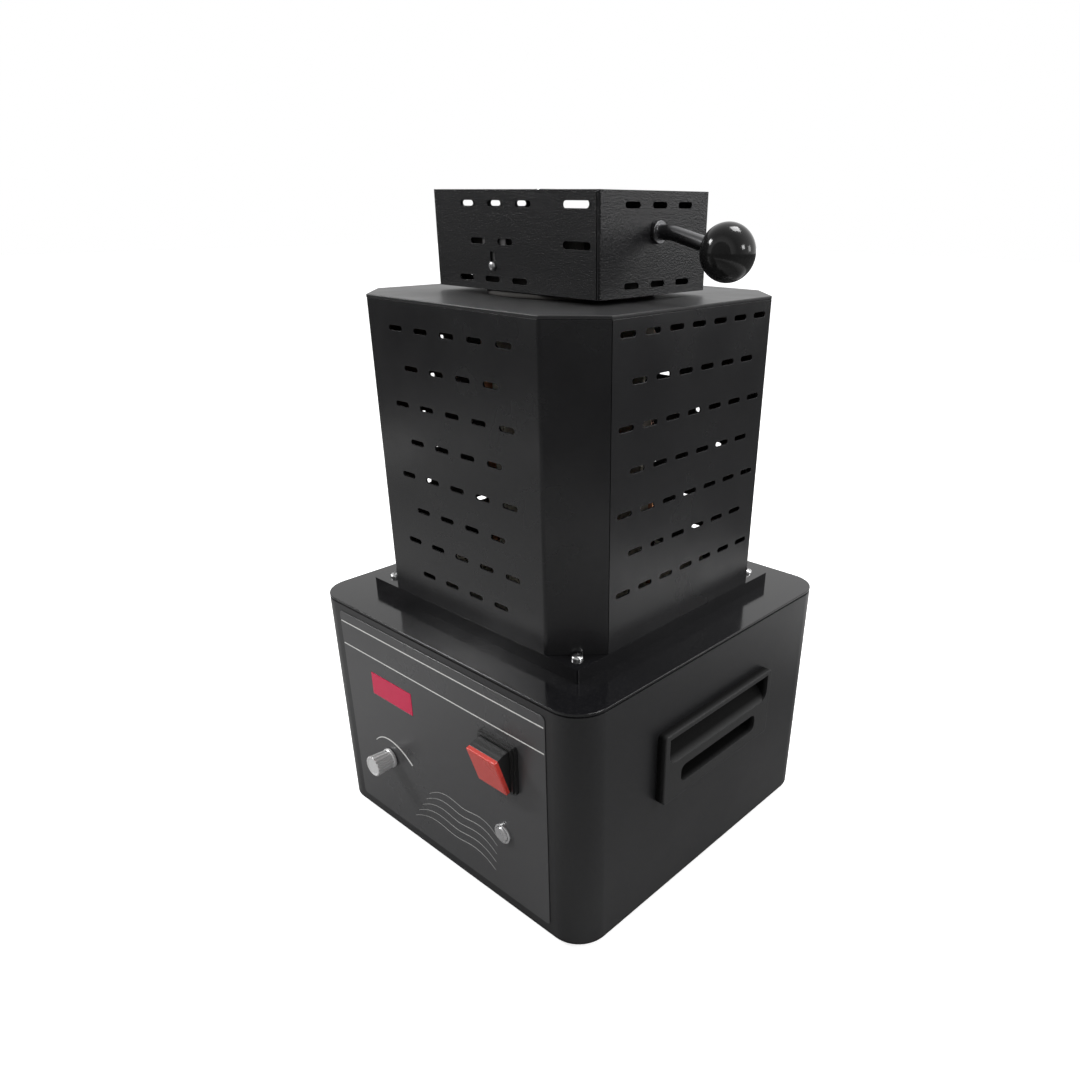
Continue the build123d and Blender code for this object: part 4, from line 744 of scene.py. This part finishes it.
for up in (-9, 9):
    add_to(housing, box("blade", (x - 3.15, x + 3.15), (-108.2, -100), (z + up - 0.4, z + up + 0.4)))
opening = box("opening", (x - 13.3, x + 13.3), (-137, -111), (z - 15.3, z + 15.3))
round_edges(opening, 0.8, 3, along(1))
cut(housing, [opening])
soften(housing, 0.35, 3, 40)
fit(housing, "furnace", black_moulding, "black_moulding", "switch_housing")

END_R, SEAT, FACE_HALF, WAIST, BACK = 14.7, 5.0, 14.3, 3.5, 6.0
ROCKER_HALF = 13
ROCKER_AXIS_Y, ROCKER_LEAN = -134.2, 17
outline = [(-SEAT, FACE_HALF), (-SEAT, -FACE_HALF)]
lower = []
for k in range(9):
    y = -WAIST + (BACK + WAIST) * k / 8
    lower.append((y, -sqrt(END_R**2 - y * y)))
outline += lower + [(y, -up) for y, up in reversed(lower)]
rocker_mesh = bpy.data.meshes.new("rocker")
rocker_mesh.from_pydata([(-ROCKER_HALF * MM, y * MM, up * MM) for y, up in outline], [],
                        [tuple(range(len(outline)))])
rocker = bpy.data.objects.new("rocker_piece", rocker_mesh)
bpy.context.scene.collection.objects.link(rocker)
edit(rocker, "FACE", lambda middle, normal: True)
bpy.ops.mesh.extrude_region_move(TRANSFORM_OT_translate={"value": (2 * ROCKER_HALF * MM, 0, 0)})
bpy.ops.mesh.select_all(action="SELECT")
bpy.ops.mesh.normals_make_consistent(inside=False)
close()
soften(rocker, 0.4, 2, 30)
lens_cap = box("rocker_lens_piece", (-ROCKER_HALF, ROCKER_HALF), (-8.0, -SEAT), (-FACE_HALF, FACE_HALF))
round_edges(lens_cap, 0.9, 4, lambda middle, way: middle.y < -7.9)
round_edges(lens_cap, 0.5, 3, along(1))
shade_piece(lens_cap)
lean = Matrix.Translation(Vector((x, ROCKER_AXIS_Y, z)) * MM) @ Matrix.Rotation(radians(ROCKER_LEAN), 4, "X")
rocker.data.transform(lean)
lens_cap.data.transform(lean)
fit(rocker, "power_rocker", black_moulding, "black_moulding", "rocker")
fit(lens_cap, "power_rocker", switch_red, "switch_red", "rocker_lens")

# ------------------------------------------------------------------ start button
# Nickel-plated bezel with a threaded barrel through the panel, held by a nut behind it.
# The sprung metal cap slides inside the barrel.
bx, bz = BUTTON_AT
bezel = lathe("button_bezel_piece", [(5.4, 0.3), (5.7, 0), (6.6, 0), (7.05, 0.25), (7.25, 0.8), (7.25, 2.0), (6.0, 2.0),
                                     (6.0, 20.5), (5.4, 20.5), (5.4, 0.3)], (bx, -132.5, bz), (0, 1, 0), 64)
shade_piece(bezel, 35)
fit(bezel, "furnace", bright_screw, "bright_screw", "button_bezel")
cap = lathe("button_cap_piece", [(0, 0.15), (2.5, 0.05), (4.3, 0), (4.9, 0.12), (5.3, 0.6), (5.3, 13.5), (0, 13.5)],
            (bx, -133.5, bz), (0, 1, 0), 64)
shade_piece(cap, 35)
fit(cap, "start_button", bright_screw, "bright_screw", "button_cap")
finish_nodes("button_nut", plain_steel)

# ------------------------------------------------------------------ rear fan
# Square black moulded fan behind a round opening in the rear wall.
# Four bright pan-head screws hold it, and with it a guard of welded steel wire.
FAN_HOLE_PITCH = 82.5
WIRE_R = 0.85


def dressed(name, node, width, segments=2, angle=32):
    """Copy of a CAD node's mesh, merged and cleared of flat edges, with its sharp edges broken."""
    piece = copy_of(frame["nodes"][node])
    piece.name = name
    piece.hide_render = False
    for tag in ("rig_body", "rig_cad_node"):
        if tag in piece:
            del piece[tag]
    piece.parent = None
    edit(piece, "FACE", lambda middle, normal: True)
    bpy.ops.mesh.customdata_custom_splitnormals_clear()
    bpy.ops.mesh.remove_doubles(threshold=2e-6)
    bpy.ops.mesh.dissolve_limited(angle_limit=radians(1.0))
    close()
    if width:
        soften(piece, width, segments, angle)
    else:
        shade_piece(piece)
    return piece


frame_piece = dressed("fan_frame_piece", "fan_frame", 0.5, 2)
fit(frame_piece, "furnace", black_moulding, "black_moulding", "fan_frame")
rotor = dressed("fan_rotor_piece", "fan_rotor", 0.3, 2)
fit(rotor, "fan", black_moulding, "black_moulding", "fan_rotor")

guard = []
for ring_radius in (16, 28, 40):
    bpy.ops.object.select_all(action="DESELECT")
    bpy.ops.mesh.primitive_torus_add(major_radius=ring_radius * MM, minor_radius=WIRE_R * MM, major_segments=72,
                                     minor_segments=12, location=(FAN_AT[0] * MM, 131.4 * MM, FAN_AT[1] * MM),
                                     rotation=(pi / 2, 0, 0))
    guard.append(settle("ring"))
reach = FAN_HOLE_PITCH / 2
for sx, sz in ((1, 1), (1, -1)):
    start = (FAN_AT[0] - sx * reach, 130.9, FAN_AT[1] - sz * reach)
    end = (FAN_AT[0] + sx * reach, 130.9, FAN_AT[1] + sz * reach)
    guard.append(rod("spoke", WIRE_R, start, end, 12))
for sx, sz in SQUARE:
    ear = (FAN_AT[0] + sx * reach, FAN_AT[1] + sz * reach)
    guard.append(lathe("ear", [(2.2, 0), (4.6, 0), (4.6, 1.5), (2.2, 1.5), (2.2, 0)], (ear[0], 130.05, ear[1]),
                       (0, 1, 0), 32))
guard = join("fan_guard_piece", guard)
shade_piece(guard, 40)
fit(guard, "furnace", plain_steel, "plain_steel", "fan_guard")
fan_screws = [pan_screw("screw", head=3.8, height=2.4, shank=2.0, length=21,
                        place=(FAN_AT[0] + sx * reach, 131.6, FAN_AT[1] + sz * reach), way=(0, 1, 0))
              for sx, sz in SQUARE]
fan_screws = join("fan_screws_piece", fan_screws)
fit(fan_screws, "furnace", bright_screw, "bright_screw", "fan_screws")

# ------------------------------------------------------------------ cord gland
# Black moulded gland low on the rear wall, with a hexagonal flange and a domed clamping nut.
# Its thread goes through the wall to a locknut inside.
gland = dressed("cable_gland_piece", "cable_gland", 0.4, 2)
fit(gland, "furnace", black_moulding, "black_moulding", "cable_gland")
finish_nodes("gland_locknut", black_moulding)

# ------------------------------------------------------------------ electronics
# Green laminate board on steel standoffs, with dark moulded capacitors and a wound choke.
# A finned aluminium heat sink stands before the fan, and copper terminals take the coil's leads.
component_case = finish("component_case", (0.05, 0.05, 0.07), (0.08, 0.08, 0.10), (500.0, 0.05, 0.4, 0.5))
aluminium_fins = finish("aluminium_fins", (0.62, 0.62, 0.64), (0.70, 0.70, 0.72), (250.0, 0.05, 0.32, 0.45),
                        metallic=1.0)
copper = finish("copper", (0.55, 0.24, 0.13), (0.64, 0.32, 0.19), (90.0, 0.04, 0.22, 0.40), metallic=1.0)
finish_nodes("standoffs", plain_steel)
finish_nodes("power_board", circuit_board)
finish_nodes("heat_sink", aluminium_fins)
finish_nodes("film_capacitors filter_capacitors choke", component_case)
finish_nodes("lead_terminals", copper)

# ------------------------------------------------------------------ tower base
# Shallow tray of sheet steel turned upside down, in the same coat as the case's top.
# A bright pan-head screw at each corner holds it down.
BASE_HIGH = 188.7
BASE_SCREW_AT = 90
base = box("tower_base_piece", (-100.5, 100.5), (-100.5, 100.5), (CASE_TOP_HIGH, BASE_HIGH))
round_edges(base, 1.2, 3, along(2))
edit(base, "FACE", lambda middle, normal: normal.z < -0.9)
bpy.ops.mesh.delete(type="ONLY_FACE")
close()
modify(base, "SOLIDIFY", thickness=WALL * MM, offset=-1)
cut(base, [rod("hole", WELL_R, (0, 0, 170), (0, 0, 195), 96)])
soften(base, 0.6, 3)
fit(base, "furnace", case_top_paint, "case_paint", "tower_base")
base_screws = [pan_screw("screw", head=3.8, height=3.0, shank=2.0, length=15,
                         place=(sx * BASE_SCREW_AT, sy * BASE_SCREW_AT, BASE_HIGH), way=(0, 0, 1))
               for sx, sy in SQUARE]
base_screws = join("tower_base_screws_piece", base_screws)
fit(base_screws, "furnace", bright_screw, "bright_screw", "tower_base_screws")

# ------------------------------------------------------------------ octagonal slotted shroud
# Four coated steel sheets: front and rear ones folded twice, and flat ones between them, lapped over their flanges.
# All are punched with staggered rows of slots. The folded ones are shaped as one eight-sided tube, then parted.
TOWER = 100.0
TOWER_CUT = 26.3
SHEET_T = 1.2
FOLD_AT = TOWER - TOWER_CUT
SHROUD_LOW, SHROUD_HIGH = BASE_HIGH, 378.0
SLOT_LENGTH, SLOT_HEIGHT = 12.5, 3.2
tower_paint = finish("tower_paint", (0.007, 0.007, 0.008), (0.011, 0.011, 0.012), (520.0, 0.06, 0.20, 0.30),
                     dust=0.04)
tube = box("shroud", (-TOWER, TOWER), (-TOWER, TOWER), (SHROUD_LOW, SHROUD_HIGH))
round_edges(tube, TOWER_CUT, 1, along(2))
round_edges(tube, 1.66, 5, lambda middle, way: abs(way.z) > 0.99 and abs(middle.y) > 99)
edit(tube, "FACE", lambda middle, normal: abs(normal.z) > 0.9)
bpy.ops.mesh.delete(type="ONLY_FACE")
close()


def part_off(source, name, plane_point, plane_normal):
    """Copy of a mesh with only what lies behind a plane."""
    piece = copy_of(source)
    piece.name = name
    edit(piece, "FACE", lambda middle, normal: True)
    bpy.ops.mesh.bisect(plane_co=Vector(plane_point) * MM, plane_no=plane_normal, clear_outer=True)
    close()
    return piece


def row_slots(wide, pitch, rows, row_pitch, top_z, wall, axis):
    """Punches for staggered rows, each second row one slot shorter."""
    at = (0, wall, top_z) if axis == 1 else (wall, 0, top_z)
    first = slot_cutter("punch", SLOT_LENGTH, SLOT_HEIGHT, at, axis)
    punches = []
    for row in range(rows):
        count = wide - row % 2
        for k in range(count):
            shift = (k - (count - 1) / 2) * pitch
            step = (shift, 0, -row * row_pitch) if axis == 1 else (0, shift, -row * row_pitch)
            punches.append(copy_of(first, step))
    bpy.data.objects.remove(first)
    return punches


for side, name in ((-1, "shroud_front"), (1, "shroud_rear")):
    wrap = part_off(tube, name + "_piece", (0, side * (FOLD_AT + 0.15), 0), (0, -side, 0))
    modify(wrap, "SOLIDIFY", thickness=SHEET_T * MM, offset=-1)
    cut(wrap, row_slots(wide=5, pitch=23.6, rows=8, row_pitch=22.1, top_z=363.0, wall=side * TOWER, axis=1))
    flanges = []
    for sx in (-1, 1):
        xs = sorted((sx * 97.6, sx * 98.8))
        ys = sorted((side * (FOLD_AT - 5.7), side * (FOLD_AT + 1.2)))
        flanges.append(box("flange", xs, ys, (SHROUD_LOW, SHROUD_HIGH)))
    wrap = join(name + "_piece", [wrap] + flanges)
    soften(wrap, 0.22, 2, 40)
    fit(wrap, "furnace", tower_paint, "tower_paint", name)

for side, name in ((1, "shroud_right"), (-1, "shroud_left")):
    xs = sorted((side * (TOWER - SHEET_T), side * TOWER))
    flat = box(name + "_piece", xs, (-FOLD_AT + 0.3, FOLD_AT - 0.3), (SHROUD_LOW, SHROUD_HIGH))
    cut(flat, row_slots(wide=7, pitch=20.4, rows=7, row_pitch=24.3, top_z=370.0, wall=side * TOWER, axis=0))
    soften(flat, 0.22, 2, 40)
    fit(flat, "furnace", tower_paint, "tower_paint", name)
bpy.data.objects.remove(tube)

# ------------------------------------------------------------------ tower top plate
# Eight-sided plate of thicker coated sheet that closes the shroud.
# It is bored for the mouth ring, and drilled near its left rear corner for the lid's pivot.
PIVOT_AT = (-60.3, 38.8)
plate = box("tower_top_piece", (-TOWER, TOWER), (-TOWER, TOWER), (SHROUD_HIGH, 380.0))
round_edges(plate, TOWER_CUT, 1, along(2))
cut(plate, [rod("bore", 48, (0, 0, 370), (0, 0, 385), 96),
            rod("hole", 4.0, (*PIVOT_AT, 370), (*PIVOT_AT, 385), 24)])
soften(plate, 0.5, 3)
tower_top_paint = finish("tower_top_paint", (0.010, 0.010, 0.011), (0.016, 0.016, 0.017), (520.0, 0.06, 0.34, 0.42),
                         dust=0.06)
fit(plate, "furnace", tower_top_paint, "tower_paint", "tower_top_plate")

# ------------------------------------------------------------------ hearth
# A turned graphite crucible stands loose on a cast refractory brick, inside a sleeve of the same.
# A mouth ring, painted dark as painted shade under the lid, lies over them in the top plate, and an insulating board
# carries the whole.
graphite = finish("graphite", (0.035, 0.035, 0.038), (0.06, 0.06, 0.064), (260.0, 0.20, 0.42, 0.60))
refractory = finish("refractory", (0.62, 0.57, 0.48), (0.74, 0.70, 0.62), (420.0, 0.45, 0.80, 0.92))
# The refractory under and inside the lid is painted near black, as painted shade.
dark_refractory = finish("dark_refractory", (0.030, 0.028, 0.026), (0.055, 0.052, 0.048), (420.0, 0.45, 0.80, 0.92))
insulating_board = finish("insulating_board", (0.55, 0.51, 0.43), (0.62, 0.58, 0.50), (600.0, 0.3, 0.78, 0.9))
finish_nodes("support_board coil_combs", insulating_board)
finish_nodes("base_brick insulating_sleeve", refractory)
ring = dressed("mouth_ring_piece", "mouth_ring", 0.5, 3)
fit(ring, "furnace", dark_refractory, "dark_refractory", "mouth_ring")
pot = dressed("crucible_piece", "crucible", 0.3, 2)
fit(pot, "furnace", graphite, "graphite", "crucible")

# ------------------------------------------------------------------ induction coil
# Bare copper tube wound round the sleeve in one helix, held by four notched insulating posts.
# Its two leads go down into the case.
finish_nodes("induction_coil coil_leads", copper)

# ------------------------------------------------------------------ lid box
# Folded sheet box, open below, in a heavier pebbled black coat.
# Its walls are punched with rows of slots, and meet in a seam at the front right corner.
lid_paint = finish("lid_paint", (0.005, 0.005, 0.006), (0.009, 0.009, 0.010), (1150.0, 0.85, 0.13, 0.20),
                   dust=0.03, specular=0.38)
LID_X, LID_Y, LID_LOW, LID_HIGH = (-69.4, 67.5), (-47.8, 47.5), 382.7, 436.2
ROW_Z = (429.0, 409.2, 388.7)
ROW_STARTS = (-37.6, -30.1, -42.1)
PITCH = 23.5
STRAP_X, STRAP_Z = -17.8, 395.8
ROD_Z = 415.6
lid = box("lid_box_piece", LID_X, LID_Y, (LID_LOW, LID_HIGH))
round_edges(lid, 1.5, 4, along(2))
edit(lid, "FACE", lambda middle, normal: normal.z < -0.9)
bpy.ops.mesh.delete(type="ONLY_FACE")
close()
modify(lid, "SOLIDIFY", thickness=SHEET_T * MM, offset=-1)
punches = []
for row_z, first_x, count in zip(ROW_Z, ROW_STARTS, (3, 2, 3)):
    for wall_y in LID_Y[:1] if row_z == ROW_Z[0] else LID_Y:
        punches += [slot_cutter("punch", SLOT_LENGTH, SLOT_HEIGHT, (first_x + k * PITCH, wall_y, row_z), 1)
                    for k in range(count)]
punches += [slot_cutter("punch", 20.5, 3.9, (50.6, LID_Y[0], row_z), 1) for row_z in ROW_Z[:2]]
punches.append(slot_cutter("punch", 27.0, 5.2, (-41.5, LID_Y[1], ROW_Z[0]), 1))
punches += [box("punch", (STRAP_X - 1.8, STRAP_X + 1.8), (y - 3, y + 3), (393.6, 403.6)) for y in LID_Y]
for wall_x, row_z, middle_y, length in ((LID_X[1], ROW_Z[0], 1.7, SLOT_LENGTH), (LID_X[1], ROW_Z[2], 1.7, SLOT_LENGTH),
                                        (LID_X[0], ROW_Z[0], 1.7, 8.5), (LID_X[0], ROW_Z[2], 6.4, SLOT_LENGTH)):
    punches += [slot_cutter("punch", length, SLOT_HEIGHT, (wall_x, middle_y + 23.0 * k, row_z), 0) for k in (-1, 0, 1)]
punches.append(rod("punch", 4.1, (*PIVOT_AT, 430), (*PIVOT_AT, 440), 32))
punches.append(rod("punch", 3.0, (60, 0, ROD_Z), (75, 0, ROD_Z), 24))
cut(lid, punches)
cut(lid, [box("seam", (65.0, 65.6), (LID_Y[0] - 1, LID_Y[0] + 0.6), (380, 435.0))])
soften(lid, 0.3, 2, 40)
fit(lid, "lid", lid_paint, "lid_paint", "lid_box")

# ------------------------------------------------------------------ inside the lid
# Refractory block held up by a shallow steel tray and a strap over it, whose screws show on the long walls.
# The tray and the strap are drawn in at the left and the front, to lie inside the box.
CAD_LID_LEFT, CAD_LID_FRONT, CAD_LID_TOP = -71.5, -49.5, 437.0
NEAR_LEFT, NEAR_FRONT = -66, -44
# The steel inside the lid is a darkened copy of plain steel, as painted shade in the closed box.
steel_in_painted_shade = finish("steel_in_painted_shade", (0.10, 0.10, 0.105), (0.16, 0.155, 0.15), (350.0, 0.06, 0.40, 0.55), metallic=1.0)
finish_nodes("pivot_bush handle_nut", steel_in_painted_shade)
# The block inside the lid takes the same painted shade.
finish_nodes("lid_block", dark_refractory)
for node in ("lid_base_plate", "lid_strap"):
    inner = dressed(node + "_piece", node, 0)
    edit(inner, "EDGE", lambda middle, way: middle.x < NEAR_LEFT)
    bpy.ops.transform.translate(value=((LID_X[0] - CAD_LID_LEFT) * MM, 0, 0))
    close()
    edit(inner, "EDGE", lambda middle, way: middle.y < NEAR_FRONT)
    bpy.ops.transform.translate(value=(0, (LID_Y[0] - CAD_LID_FRONT) * MM, 0))
    close()
    fit(inner, "lid", steel_in_painted_shade, "plain_steel", node)
strap_screws = [pan_screw("screw", head=2.6, height=1.8, shank=1.5, length=3.9,
                          place=(STRAP_X, wall_y, STRAP_Z), way=(0, side, 0)) for side, wall_y in zip((-1, 1), LID_Y)]
strap_screws = join("lid_strap_screws_piece", strap_screws)
fit(strap_screws, "lid", bright_screw, "bright_screw", "lid_strap_screws")

# ------------------------------------------------------------------ handle
# Steel rod with a round foot against the lid's wall, bent down a little, held by a nut inside.
# A glossy black moulded ball is screwed on its end.
BALL_AT, BALL_R, BALL_FLAT = (115.5, 0, 407), 15, -13.8
ROD_BEND_X = 78
rod_steel = finish("rod_steel", (0.17, 0.17, 0.175), (0.24, 0.24, 0.245), (260.0, 0.05, 0.18, 0.30), metallic=1.0)
ball_black = finish("ball_black", (0.012, 0.012, 0.012), (0.016, 0.016, 0.016), (200.0, 0.0, 0.10, 0.15),
                    specular=0.28)
handle = dressed("handle_rod_piece", "handle_rod", 0.3, 2)
fit(handle, "lid", rod_steel, "rod_steel", "handle_rod")
way = Vector((BALL_AT[0] - ROD_BEND_X, 0, BALL_AT[2] - ROD_Z)).normalized()
arc_points = [(BALL_R * sin(radians(a)), BALL_R * cos(radians(a))) for a in range(0, 156, 5)]
arc_points = [(max(r, 0.0), h) for r, h in arc_points if h > BALL_FLAT]
profile = arc_points + [(5.6, BALL_FLAT), (4.2, -13.4), (0, -13.4)]
ball = lathe("handle_ball_piece", profile, BALL_AT, way, 72)
shade_piece(ball, 35)
fit(ball, "lid", ball_black, "ball_black", "handle_ball")

# ------------------------------------------------------------------ lid pivot
# Upright steel stud through the tower's top plate, with a nut below it and a thrust washer under the lid.
# A bright low-headed screw holds the lid down on it.
finish_nodes("pivot_nut pivot_washer", plain_steel)
finish_nodes("pivot_stud", rod_steel)
screw = dressed("pivot_screw_piece", "pivot_screw", 0.3, 2)
screw.data.transform(Matrix.Translation((0, 0, (LID_HIGH - CAD_LID_TOP) * MM)))
fit(screw, "furnace", bright_screw, "bright_screw", "pivot_screw")
